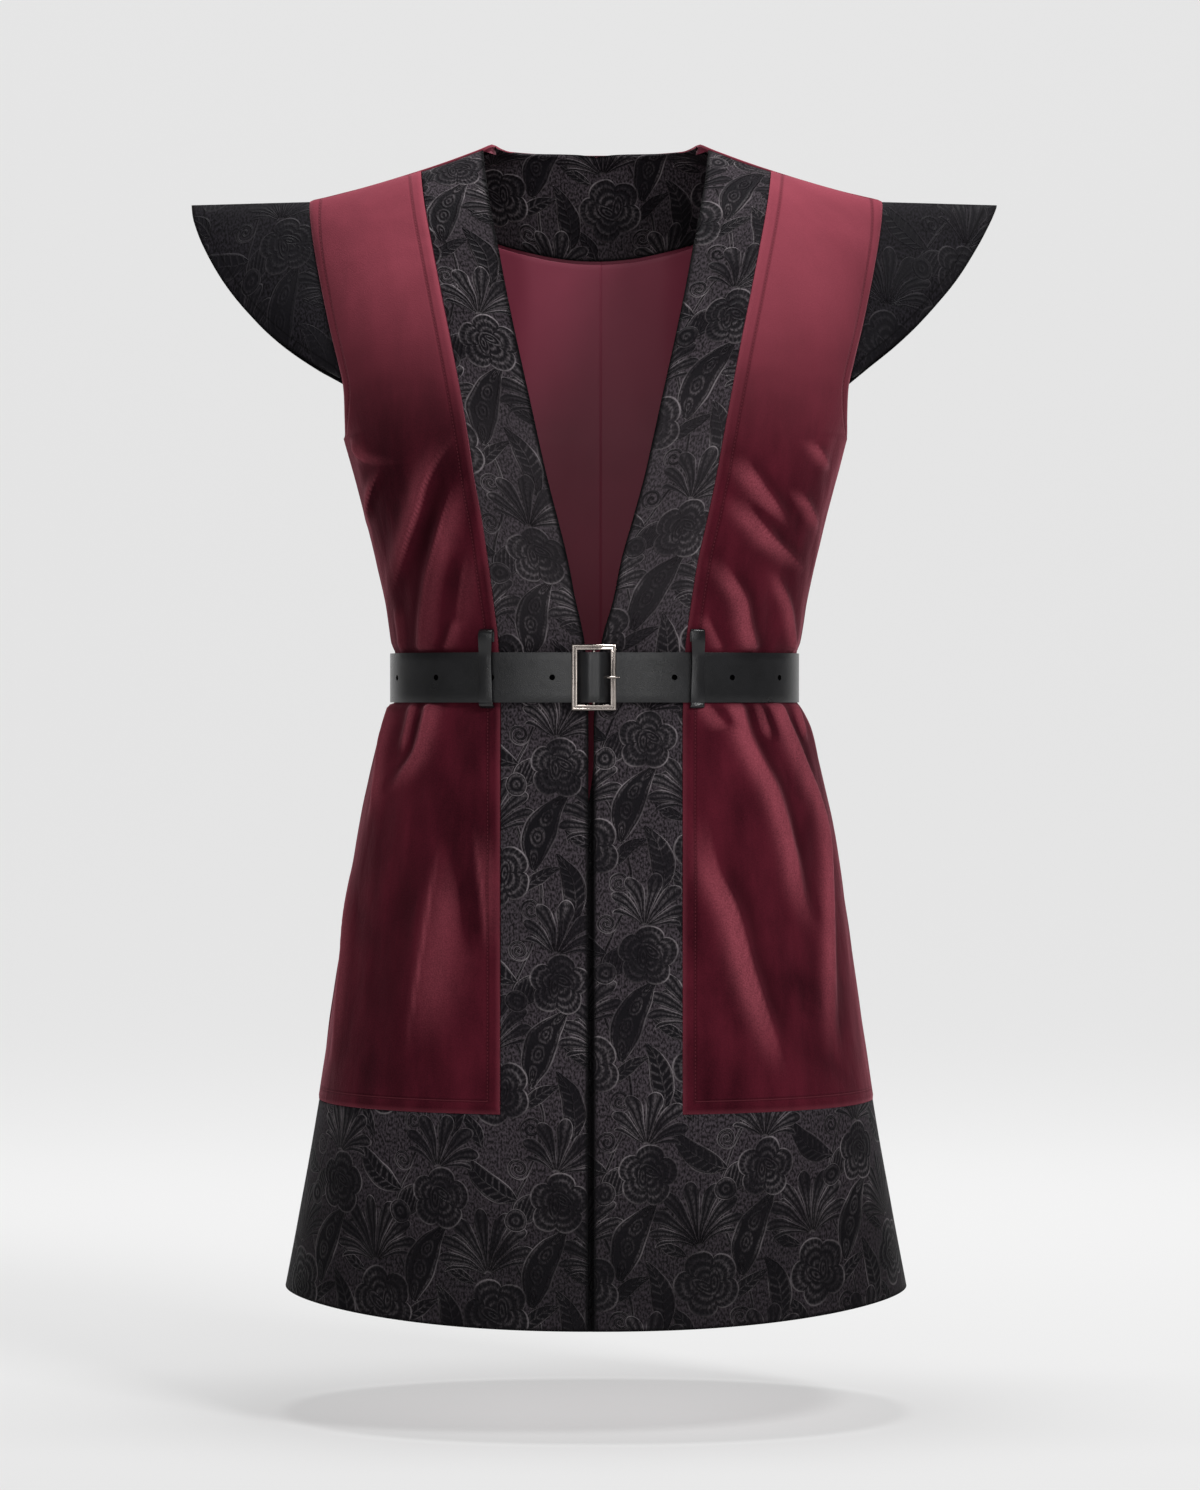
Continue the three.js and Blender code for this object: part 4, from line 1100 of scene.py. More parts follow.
class Pattern:
    """Draws woven motifs over a repeat: their height, shade, edges and raised ribs."""

    def __init__(self, u: Wire, v: Wire, wide: float, tall: float) -> None:
        """Start with plain ground.

        Args:
            u: distance across the cloth, in millimetres.
            v: distance up the cloth.
            wide: width of the repeat.
            tall: its height.
        """
        self.u, self.v, self.wide, self.tall = u, v, wide, tall
        self.height = self.shade = self.edge = self.ribs = u * 0.0

    def local(self, spot: Spot) -> tuple[Wire, Wire]:
        """A motif's own coordinates, in millimetres.

        Args:
            spot: where the motif stands.

        Returns:
            Millimetres across and up the motif.
        """
        x, y = (self.u - spot.x).wrap(self.wide), (self.v - spot.y).wrap(self.tall)
        c, s = math.cos(math.radians(spot.turn)), math.sin(math.radians(spot.turn))
        return x * c + y * s, y * c - x * s

    @staticmethod
    def polar(x: Wire, y: Wire) -> tuple[Wire, Wire]:
        """Distance from the middle and angle from the y axis."""
        return (x * x + y * y).op("SQRT"), x.op("ARCTAN2", y)

    def add(self, mask: Wire, lines: Wire, body: float = 0.45) -> None:
        """Lay a motif over what is drawn.

        Args:
            mask: 1 inside the motif.
            lines: its raised lines, from 0 to 1.
            body: height of the motif between its lines.
        """
        clear = 1.0 - mask
        self.height = self.height * clear + mask * (lines * (1 - body) + body)
        self.shade = self.shade * clear + mask * (1.0 - lines * 0.3)
        self.edge = (self.edge * clear).most(mask * clear * 4.0)
        self.ribs = self.ribs * clear + mask * lines

    def blossom(self, spot: Spot, radius: float, lobes: int) -> None:
        """A layered flower with a scalloped edge and a heart of two leaning loops.

        Args:
            spot: where it stands.
            radius: its radius, in millimetres.
            lobes: petals on its edge.
        """
        x, y = self.local(spot)
        r, a = self.polar(x, y)
        wave = (a * (lobes / 2)).cos().abs()
        q = r / ((wave ** 0.6) * (0.26 * radius) + 0.74 * radius)
        mask = 1.0 - q.ease(0.96, 1.04)
        rings = ((q * 25.0).cos() * 0.5 + 0.5) ** 2
        petals = wave.ease(0.02, 0.22)
        veins = ((a * 38.0).sin() * 0.5 + 0.5) * 0.35
        lean_x, lean_y = x.abs() / radius, y / radius + 0.38
        along = (lean_x * 0.50 + lean_y * 0.87 - 0.36) / 0.40
        aside = (lean_x * 0.87 - lean_y * 0.50 + 0.03) / 0.17
        loop = (along * along + aside * aside).op("SQRT")
        heart = loop.line(0.86, 0.2).most(loop.line(0.34, 0.2))
        centre = 1.0 - loop.ease(1.0, 1.2)
        outer = (rings + veins * q.ease(0.5, 0.8)).least(1.0) * (petals * 0.8 + 0.2)
        self.add(mask, outer * (1.0 - centre) + heart * centre)

    def plume(self, spot: Spot, length: float, feathers: int, spread: float) -> None:
        """A fan of curling feathers that rise from one point.

        Args:
            spot: where it rises from.
            length: length of its middle feather.
            feathers: how many it has.
            spread: half its opening angle, in radians.
        """
        x, y = self.local(spot)
        r, a = self.polar(x, y)
        t = a / (r * r * (0.5 / length**2) + 1.0) * ((feathers - 1) / 2 / spread)
        f = ((t + 0.5).fract() - 0.5).abs()
        tip = (1.0 - t * t * (0.26 / ((feathers - 1) / 2) ** 2)) * length * (1.0 - f * f * 1.3)
        mask = (1.0 - f.ease(0.34, 0.46)) * (1.0 - (r - tip).ease(-1.0, 0.4)) * r.ease(1.5, 4.0)
        mask = mask * (1.0 - t.abs().ease(feathers / 2 - 0.08, feathers / 2))
        self.add(mask, f.line(0.0, 0.16).most(f.line(0.3, 0.1) * 0.8))

    def pod(self, spot: Spot, length: float, width: float, bend: float, seeds: int) -> None:
        """A bent teardrop with a double outline and a row of seeds.

        Args:
            spot: its middle.
            length: its length, in millimetres.
            width: its width.
            bend: how far it bends aside.
            seeds: how many seeds show.
        """
        x, t, q, w = self.leaf_frame(spot, length, width, bend)
        s = (t * float(seeds)).fract() - 0.5
        e = ((x / w * 2.3) * (x / w * 2.3) + s * s * 5.0).op("SQRT")
        lines = q.line(0.82, 0.13).most(e.line(0.86, 0.24)).most(e.line(0.34, 0.22))
        self.add(self.leaf_mask(t, q), lines)

    def leaf(self, spot: Spot, length: float, width: float, bend: float, veins: float) -> None:
        """A curved leaf with a midrib and slanting veins.

        Args:
            spot: its middle.
            length: its length, in millimetres.
            width: its width.
            bend: how far it bends aside.
            veins: how many veins slant off each side.
        """
        x, t, q, _ = self.leaf_frame(spot, length, width, bend)
        rib = x.abs().line(0.0, 0.9)
        side = ((t * veins - q * 0.9).fract() - 0.5).abs().line(0.0, 0.24) * 0.8
        self.add(self.leaf_mask(t, q), rib.most(side).most(q.line(0.88, 0.1)))

    def leaf_frame(self, spot: Spot, length: float, width: float, bend: float) -> tuple[Wire, ...]:
        """Coordinates of a bent leaf: across, share up, share across and half width.

        Args:
            spot: its middle.
            length: its length, in millimetres.
            width: its width.
            bend: how far it bends aside.

        Returns:
            The four coordinates, in that order.
        """
        x, y = self.local(spot)
        t = y / length + 0.5
        bent = x - (t - 0.5) * (t - 0.5) * bend
        w = (t * math.pi).sin().most(0.0) ** 0.75 * (1.22 - t * 0.5) * (width / 2) + 0.01
        return bent, t, bent.abs() / w, w

    @staticmethod
    def leaf_mask(t: Wire, q: Wire) -> Wire:
        """1 inside a leaf."""
        return (1.0 - q.ease(0.92, 1.08)) * t.ease(0.0, 0.02) * (1.0 - t.ease(0.98, 1.0))

    def bud(self, spot: Spot, size: float) -> None:
        """A round ringed eye under a striped cap.

        Args:
            spot: the eye's middle.
            size: the bud's width, in millimetres.
        """
        x, y = self.local(spot)
        r, _ = self.polar(x, y)
        ring = r / (0.46 * size)
        cap_y = (y - 0.72 * size) / 1.35
        cap = (x * x + cap_y * cap_y).op("SQRT") / (0.52 * size)
        stripes = (((x + y * 0.5) * (math.tau / 3.4)).sin() * 0.5 + 0.5) ** 2
        self.add(1.0 - cap.ease(0.95, 1.05), stripes.most(cap.line(0.86, 0.12)))
        self.add(1.0 - ring.ease(0.95, 1.05), ring.line(0.8, 0.2).most(ring.line(0.25, 0.2)))

    def curl(self, spot: Spot, radius: float) -> None:
        """A small spiral tendril.

        Args:
            spot: its middle.
            radius: its radius, in millimetres.
        """
        x, y = self.local(spot)
        r, a = self.polar(x, y)
        s = ((a / math.tau + r / (radius * 0.52)).fract() - 0.5).abs()
        mask = (1.0 - s.ease(0.2, 0.32)) * (1.0 - r.ease(radius * 0.86, radius))
        self.add(mask, s.line(0.0, 0.14))

    def stem(self, x: float, sway: float, phase: float) -> None:
        """A thin stem that winds up the whole repeat.

        Args:
            x: where its middle line stands, in millimetres.
            sway: how far it swings aside.
            phase: where the swing starts, in radians.
        """
        path = (self.v * (math.tau / self.tall) + phase).sin() * sway
        off = (self.u - path - x).wrap(self.wide).abs()
        self.add(1.0 - off.ease(0.7, 1.5), off.line(0.0, 0.7))


@dataclass(frozen=True)
class Brocade:
    """Black brocade: a grained satin ground with raised, darker flowers, leaves and plumes."""

    name: str = "black_brocade"
    ground: Colour = (0.058, 0.0475, 0.056, 1)
    motif: Colour = (0.0052, 0.0045, 0.0060, 1)
    # painted highlight colour for the motif outlines and raised lines
    thread_highlight: Colour = (0.31, 0.275, 0.29, 1)
    # colour of the painted shade at the hem, near the neck, along the edges and in the stitch groove
    black: Colour = (0.0018, 0.0016, 0.002, 1)
    # where the painted shade line of the stitch groove lies, in metres from the edge
    stitch_groove_shade: float = 0.0
    wide: float = 96.0
    tall: float = 172.0
    relief: float = 1.2

    def draw(self, u: Wire, v: Wire) -> Pattern:
        """Draw one repeat.

        Args:
            u: distance across the cloth, in millimetres.
            v: distance up the cloth.

        Returns:
            The drawn pattern.
        """
        p = Pattern(u, v, self.wide, self.tall)
        p.stem(50, 13, 1.0)
        p.curl(Spot(54, 10, 0), 9)
        p.curl(Spot(92, 92, 140), 8.5)
        p.curl(Spot(44, 150, 60), 9)
        p.leaf(Spot(60, 36, -56), 38, 11, 8, 6)
        p.leaf(Spot(8, 8, 32), 34, 11, -8, 6)
        p.leaf(Spot(92, 66, 58), 30, 9, 7, 5)
        p.leaf(Spot(87, 30, 14), 58, 19, -26, 9)
        p.leaf(Spot(18, 138, 52), 56, 19, 24, 9)
        p.plume(Spot(20, 67, 8), 52, 8, 1.05)
        p.plume(Spot(74, 147, -12), 44, 6, 0.95)
        p.pod(Spot(62, 76, -24), 70, 26, 30, 4)
        p.bud(Spot(42, 110, -44), 19)
        p.blossom(Spot(27, 38, 24), 27, 5)
        p.blossom(Spot(76, 124, -150), 24, 5)
        return p

    def make(self) -> bpy.types.Material:
        """Build the material.

        Returns:
            The material.
        """
        b = Bench(self.name)
        cut = b.uv("Cut")
        across, up, _ = b.split(cut)
        warp = b.add("ShaderNodeTexNoise", None, Vector=cut, Scale=38.0, Detail=1.0)
        push = b.split(warp.outputs["Color"])
        u = across * 1000.0 + push[0] * 5.0
        v = up * 1000.0 + push[1] * 5.0
        pattern = self.draw(u, v)
        grain = b.noise(b.vector("MULTIPLY", cut, (1.0, 0.6, 1.0)), 640.0, 2.0).ease(0.34, 0.66)
        cloud = b.noise(cut, 17.0, 3.0)
        # patches where the painted highlights show
        highlight_patches = b.noise(cut, 26.0, 4.0).ease(0.40, 0.62)
        shade = pattern.shade * (cloud * 0.5 + 0.7).least(1.0)
        deep = tuple(c * 0.12 for c in self.ground[:3]) + (1,)
        ground = b.mix(grain * 0.85 + cloud * 0.3 - 0.15, deep, self.ground)
        colour = b.mix(shade, ground, self.motif)
        # painted highlights on the motifs' outlines and raised lines
        colour = b.mix(pattern.edge * (highlight_patches * 0.42 + 0.10), colour, self.thread_highlight)
        colour = b.mix(pattern.ribs * highlight_patches * (grain * 0.18 + 0.04), colour, self.thread_highlight)
        height = b.split(b.place())[2]
        # painted shade: darker towards the hem and on the lapels near the neck
        hem = 1.0 - height.ease(-0.92, -0.76)
        collar = height.ease(-0.20, -0.10) * (1.0 - height.ease(-0.06, -0.03))
        # painted light: a little lighter between the belt and the upper chest
        chest = height.ease(-0.44, -0.36) * (1.0 - height.ease(-0.26, -0.16))
        colour = b.mix(chest * 0.035, colour, self.thread_highlight)
        colour = b.mix(hem * 0.50 + collar * 0.20, colour, self.black)
        seam = b.split(b.uv("Rim"))[0]
        # painted shade along the cut edges, and a painted shade line in the stitch groove
        colour = b.mix((1.0 - seam.ease(0.0005, 0.0035)) * 0.85, colour, self.black)
        colour = b.mix(seam.line(self.stitch_groove_shade, 0.0012) * 0.8, colour, self.black)
        normal = b.bump(pattern.height + grain * 0.1, self.relief * MM, 1.0)
        b.set(Base_Color=colour, Roughness=0.62 - pattern.height * 0.16 + grain * 0.1, Normal=normal)
        b.set(Specular_IOR_Level=0.05)
        return b.material


@dataclass
class Finishes:
    """Every material of the vest."""

    velvet: bpy.types.Material
    satin: bpy.types.Material
    brocade: bpy.types.Material
    sleeve: bpy.types.Material
    leather: bpy.types.Material
    cut_leather: bpy.types.Material
    nickel: bpy.types.Material

    @classmethod
    def make(cls) -> "Finishes":
        """Build them all.

        Returns:
            The vest's finishes.
        """
        # a darker copy of the brocade: painted shade for the cap sleeves
        sleeve = Brocade(
            name="shaded_sleeve_brocade",
            ground=(0.017, 0.015, 0.019, 1),
            motif=(0.0055, 0.005, 0.0065, 1),
            thread_highlight=(0.055, 0.050, 0.055, 1),
            stitch_groove_shade=0.010,
            relief=0.5,
        )
        # near-black leather without gloss: painted shade inside the holes and the prong's slot
        cut = Leather(
            name="cut_leather",
            colour=(0.001, 0.001, 0.001, 1),
            worn=(0.0016, 0.0015, 0.0015, 1),
            gloss=0.0,
        )
        return cls(
            velvet=Velvet().make(),
            satin=Satin().make(),
            brocade=Brocade().make(),
            sleeve=sleeve.make(),
            leather=Leather().make(),
            cut_leather=cut.make(),
            nickel=Nickel().make(),
        )


@dataclass
class Panels:
    """The cloth panels of the vest."""

    form: BodyForm
    finish: Finishes
    velvet: float = 2.2
    brocade: float = 1.8
    seam_gap: float = 0.15
    seam_low: float = 0.905
    seam_high: float = 0.945
    ring_step: float = 3.2
    yoke_rows: int = 72
    velvet_columns: int = 70
    band_cells: int = 34
    border_cells: int = 60
    neck_cells: int = 26
    side_cells: int = 44
    roll_cells: int = 4
    underlap: float = 6.5
    shoulder_x: float = 234.0
    facing_drop: float = 84.0
    facing_curve: float = 14.0
    facing_top: float = 0.97
    lining_low: float = -908.0

    def levels(self, low: float) -> Array:
        """Levels of a panel's rows, from a lowest ring up to the shoulder ridge.

        Args:
            low: height of the lowest ring.

        Returns:
            The levels, rising.
        """
        count = max(2, round((self.form.chest_z - low) / self.ring_step))
        rings = np.linspace(self.form.level_of(low), 0.0, count + 1)
        return np.concatenate([rings, np.linspace(0.0, 1.0, self.yoke_rows + 1)[1:]])

    def lattice(self, face: Face, levels: Array, at: Callable[[float], Array]) -> Drape:
        """Lay a grid over the form.

        Args:
            face: front or back.
            levels: levels of the rows, for each column; its rings are the same for all columns.
            at: gives every column's distance along a row.

        Returns:
            The cloth.
        """
        rings = levels[0][levels[0] <= 0]
        fine = np.concatenate([rings, np.linspace(0, 1, 141)[1:]]) if levels.max() > 0 else rings
        across = np.stack([at(float(level)) for level in fine], axis=1)
        rows = [self.form.row(face, float(v)).at(across[:, k]) for k, v in enumerate(fine)]
        points = np.stack(rows, axis=1)
        found = np.zeros((*levels.shape, 3))
        reach = np.zeros(levels.shape)
        for i in range(levels.shape[0]):
            for axis in range(3):
                found[i, :, axis] = np.interp(levels[i], fine, points[i, :, axis])
            reach[i] = np.interp(levels[i], fine, across[i])
        return Drape(found, reach, rises(found))

    def front_levels(self, plain: Array, seam_share: Array) -> Array:
        """Levels of a front panel, whose top follows the shoulder seam."""
        seam = lerp(self.seam_low, self.seam_high, seam_share) - 0.001
        return np.where(plain > 0, plain * seam[:, None], plain)

    def below_armhole(self, drape: Drape) -> Array:
        """How far each place lies below the armhole, in millimetres."""
        return np.maximum(self.form.chest_z - 5.0 - drape.points[..., 2], 0.0)

    def front_velvet(self, side: Side, folds: Sequence[Fold]) -> None:
        """Make one velvet side front.

        Args:
            side: the wearer's side.
            folds: the folds on it.
        """
        shares = np.linspace(0, 1, self.velvet_columns)

        def at(level: float) -> Array:
            """Columns from the band seam to the side seam or armhole."""
            start = self.form.band_edge(level, "outer_" + side.value) + self.seam_gap
            return lerp(start, self.form.row(Face.FRONT, level).total - self.seam_gap, shares)

        plain = self.levels(self.form.seam_z + self.seam_gap)
        drape = self.lattice(Face.FRONT, self.front_levels(plain, lerp(0.6, 1.0, shares)), at)
        offset = drape.across - drape.across[:1]
        arm = drape.across[-1:] - drape.across
        rim = np.minimum(offset, drape.up)
        rim = np.minimum(rim, arm + self.below_armhole(drape))
        relief = Relief(folds, 11, crisp=0.3) if side is Side.LEFT else Relief(folds, 23, crisp=0.55)
        lift, crest = relief.lift(drape)
        hold = smoothstep(np.minimum(offset, arm) / 12.0 + 0.25) * smoothstep(drape.up / 50.0)
        lift = lift * hold + 0.7 * smoothstep(rim / 1.5)
        if side is Side.RIGHT:
            drape = drape.mirrored()
        cloth = (self.finish.velvet, self.finish.satin)
        name = "velvet_front_" + side.value
        piece = Sewn(name, drape, lift, self.velvet, rim, cloth, crest * hold).make()
        Workshop.register(piece, "velvet", "front_velvet_" + side.value)

    def front_brocade(self, side: Side) -> None:
        """Make one front band with its half of the hem border.

        The wearer's left band turns under below the belt, behind the other band's edge.

        Args:
            side: the wearer's side.
        """
        inner, outer = "inner_" + side.value, "outer_" + side.value
        under, band, border = (4 if side is Side.LEFT else 1), self.band_cells, self.border_cells
        plain = self.levels(self.form.hem_z)
        top = self.form.level_of(self.form.seam_z) - self.seam_gap * MM
        cut = int(np.argmin(np.abs(plain - top)))
        plain[cut] = top

        def at(level: float) -> Array:
            """Columns from the turned front edge to the velvet seam and on to the side seam.

            Args:
                level: the row's level.

            Returns:
                The columns' distances along the row.
            """
            start = self.form.band_edge(level, inner)
            seam = self.form.band_edge(level, outer) - self.seam_gap
            reach = self.tuck(level) if side is Side.LEFT else 0.6
            edge = start - reach * np.linspace(1, 0, under + 1)[:-1]
            if side is Side.RIGHT:
                edge, start = edge + reach, start + reach
            strip = lerp(start, seam, np.linspace(0, 1, band + 1))
            end = self.form.row(Face.FRONT, level).total - self.seam_gap
            rest = np.full(border, seam)
            if level <= 0:
                rest = lerp(seam, end, np.linspace(0, 1, border + 1)[1:])
            return np.concatenate([edge, strip, rest])

        columns = under + band + border
        share = np.clip(np.arange(columns + 1) / (under + band), 0, 1)
        drape = self.lattice(Face.FRONT, self.front_levels(plain, lerp(0.3, 0.6, share)), at)
        start = np.array([drape.across[under]])
        drape = Drape(drape.points, drape.across - start, drape.up)
        rim = np.minimum(np.maximum(drape.across, 0.0), drape.up)
        lift, _ = Relief((), 5, 0.6).lift(drape)
        lift = lift * smoothstep(drape.up / 30) * smoothstep(drape.across / 14 + 0.2)
        lift[under + band - 2 :] *= 0.4
        if side is Side.LEFT:
            lift = np.where(drape.across < 0, -3.4 * smoothstep(-drape.across / 2.2), lift)
        lift = np.where(drape.across < 0, lift, np.maximum(lift, -0.2))
        if side is Side.RIGHT:
            drape = drape.mirrored()

        def keep(i: int, j: int) -> bool:
            """The band all the way up, the border below the velvet."""
            return i < under + band or j < cut

        shift = (31.0, 0.0) if side is Side.LEFT else (0.0, 22.0)
        cloth = (self.finish.brocade, self.finish.satin)
        name = "brocade_front_" + side.value
        piece = Sewn(name, drape, lift, self.brocade, rim, cloth, None, keep, shift).make()
        Workshop.register(piece, "brocade", "front_brocade_" + side.value)

    def tuck(self, level: float) -> float:
        """How far the wearer's left band turns under at one level, in millimetres."""
        depth = self.form.chest_z + min(level, 0.0) * 1000.0
        return 0.4 + self.underlap * float(smoothstep(np.array((-500.0 - depth) / 60.0)))

    def back_columns(self, inner: int, outer: int, count: int | None = None) -> Callable[[float], Array]:
        """Distances of the back's columns along a row; one column always stands at the neck corner.

        Args:
            inner: cells from the middle to the neck corner.
            outer: cells from there to the side.
            count: how many columns are kept, or None for all.

        Returns:
            A function that gives the distances on a row.
        """

        def at(level: float) -> Array:
            """The distances on one row.

            Args:
                level: the row's level.

            Returns:
                The distances.
            """
            row = self.form.row(Face.BACK, level)
            corner = float(row.length_at_x(self.form.neck_x))
            rest = np.linspace(corner, row.total - self.seam_gap, outer + 1)[1:]
            return np.concatenate([np.linspace(0, corner, inner + 1), rest])[:count]

        return at

    @staticmethod
    def whole(half: Drape) -> Drape:
        """Join a half to its mirror image.

        Args:
            half: the cloth from the middle to one side.

        Returns:
            The cloth from side to side.
        """
        other = half.mirrored()
        points = np.concatenate([other.points[:0:-1], half.points])
        across = np.concatenate([other.across[:0:-1], half.across])
        return Drape(points, across, np.concatenate([half.up[:0:-1], half.up]))

    def back_velvet(self) -> None:
        """Make the velvet back, rolled over the shoulder ridge to the shoulder seam."""
        inner, outer, roll = self.neck_cells, self.side_cells, self.roll_cells
        levels = self.levels(self.form.seam_z + self.seam_gap)
        short = 1 - 0.060 * (1 - smoothstep((np.arange(inner + outer + 1) - inner + 4.0) / 5.0))
        plain = np.where(levels > 0, levels * short[:, None], levels)
        half = self.lattice(Face.BACK, plain, self.back_columns(inner, outer))
        lift, crest = Relief(FOLDS_BACK, 7, crisp=0.35, skew=7.0, shade=0.55).lift(self.whole(half))
        extra = np.zeros((inner + outer + 1, roll, 3))
        for i, point in enumerate(half.points[:, -1]):
            out = max(point[0] - self.form.neck_x, 0.0) / (self.shoulder_x - self.form.neck_x)
            seam = lerp(self.seam_low, self.seam_high, lerp(0.3, 1.0, out)) + 0.001
            for k in range(roll):
                part = (k + 1) / roll
                row = self.form.row(Face.FRONT, 1 - (1 - seam) * part)
                reach = float(row.length_at_x(point[0] + 9.0 * part * (1 - out)))
                length = min(reach, row.total - self.seam_gap)
                extra[i, k] = row.at(np.array([length]))[0]
        points = np.concatenate([half.points, extra], axis=1)
        across = np.concatenate([half.across, np.repeat(half.across[:, -1:], roll, axis=1)], axis=1)
        drape = self.whole(Drape(points, across, rises(points)))
        lift = np.concatenate([lift, np.repeat(lift[:, -1:], roll, axis=1)], axis=1)
        crest = np.concatenate([crest, np.zeros((len(crest), roll))], axis=1)
        arm = np.abs(drape.across[-1:]) - np.abs(drape.across)
        rim = np.minimum(drape.up, arm + self.below_armhole(drape))
        hold = smoothstep(arm / 12 + 0.25) * smoothstep(drape.up / 50)
        hold *= 1 - smoothstep((drape.points[..., 2] + 60) / 30)
        lift = lift * hold + 0.7 * smoothstep(rim / 1.5)
        last, middle = len(levels) - 1, inner + outer

        def keep(i: int, j: int) -> bool:
            """All but the neck opening beyond the ridge."""
            return j < last or abs(i + 0.5 - middle) > inner

        cloth = (self.finish.velvet, self.finish.satin)
        piece = Sewn("velvet_back", drape, lift, self.velvet, rim, cloth, crest * hold, keep).make()
        Workshop.register(piece, "velvet", "back_velvet")

    def back_hem(self) -> None:
        """Make the back half of the hem border."""
        inner, outer = self.neck_cells, self.side_cells
        top = self.form.level_of(self.form.seam_z) - self.seam_gap * MM
        levels = np.linspace(self.form.level_of(self.form.hem_z), top, 44)
        plain = np.repeat(levels[None, :], inner + outer + 1, axis=0)
        drape = self.whole(self.lattice(Face.BACK, plain, self.back_columns(inner, outer)))
        lift, _ = Relief((), 31, 0.6).lift(drape)
        lift = lift * smoothstep(drape.up / 40)
        cloth = (self.finish.brocade, self.finish.satin)
        piece = Sewn("brocade_back_hem", drape, lift, self.brocade, drape.up, cloth).make()
        Workshop.register(piece, "brocade", "back_hem_brocade")

    def facing_level(self, x: float) -> float:
        """Level of the facing's lower edge at one distance from the middle.

        Args:
            x: the distance from the middle, in millimetres.

        Returns:
            The level, from 0 to 1.
        """
        edge = self.form.neck_z - self.facing_drop + self.facing_curve * (x / self.form.neck_x) ** 2
        low, high = 0.0, 1.0
        for _ in range(16):
            middle = (low + high) / 2
            if self.form.point(Face.BACK, middle, np.array([x]))[0, 2] < edge:
                low = middle
            else:
                high = middle
        return low

    def facing_levels(self, inner: int, outer: int, last: int) -> Array:
        """Level of the facing's lower edge at each column.

        Args:
            inner: cells from the middle to the neck corner.
            outer: cells from there to the side.
            last: the last column.

        Returns:
            One level for each column.
        """
        at = self.back_columns(inner, outer)
        found = np.full(last + 1, 0.7)
        for i in range(last + 1):
            for _ in range(6):
                level = round(float(found[i]), 3)
                row = self.form.row(Face.BACK, level)
                found[i] = self.facing_level(float(row.at(np.array([at(level)[i]]))[0, 0]))
        return found

    def neck_facing(self) -> None:
        """Make the brocade facing inside the back neck."""
        inner, outer, last = self.neck_cells, 40, 44
        low = self.facing_levels(inner, outer, last)
        high = np.where(np.arange(last + 1) > inner, self.facing_top, 1.0)
        levels = low[:, None] + (high - low)[:, None] * np.linspace(0, 1, 31)
        drape = self.whole(self.lattice(Face.BACK, levels, self.back_columns(inner, outer, last + 1)))
        rim = np.minimum(drape.up, drape.up[:, -1:] - drape.up)
        inside = -2.2 + 2.0 * smoothstep((6.0 - (drape.up[:, -1:] - drape.up)) / 6.0)
        inside[np.abs(np.arange(len(inside)) - last) > inner] = -2.2
        cloth = (self.finish.brocade, self.finish.brocade)
        piece = Sewn("neck_facing", drape, inside, 1.4, rim, cloth, shift=(12.0, -8.0)).make()
        Workshop.register(piece, "brocade", "back_neck_facing")

    def lining(self) -> None:
        """Make the satin back lining."""
        inner, outer = 18, 32
        columns = inner + outer
        low = self.facing_levels(inner, outer, columns)
        reach = np.where(np.arange(columns + 1) > inner + 14, 0.93, low - 0.008)
        rings = np.linspace(self.form.level_of(self.lining_low), 0, 120)
        rings = np.repeat(rings[None, :], columns + 1, axis=0)
        levels = np.concatenate([rings, reach[:, None] * np.linspace(0, 1, 40)[1:]], axis=1)
        drape = self.whole(self.lattice(Face.BACK, levels, self.back_columns(inner, outer)))
        soft, _ = Relief((), 3, 0.5).lift(drape)
        lift = np.minimum(soft, 0.4) - 1.0 - 2.6
        cloth = (self.finish.satin, self.finish.satin)
        piece = Sewn("back_lining_satin", drape, lift, 1.0, drape.up + 1, cloth).make()
        Workshop.register(piece, "lining", "back_lining")


@dataclass(frozen=True)
class CapRow:
    """A place on a cap sleeve's outer edge: how far out on each side, how far forward, how high."""

    r: float
    l: float
    y: float
    z: float


CAP_EDGE = (
    CapRow(331, 328, 2, -50.5),
    CapRow(328.5, 322.5, 8, -63),
    CapRow(319.5, 310.5, 16, -85),
    CapRow(302.5, 291.5, 26, -114),
    CapRow(280.5, 268, 35, -141),
    CapRow(257.5, 246, 41, -161.5),
    CapRow(232, 224.5, 46, -178.5),
    CapRow(209, 209, 43.5, -190),
)


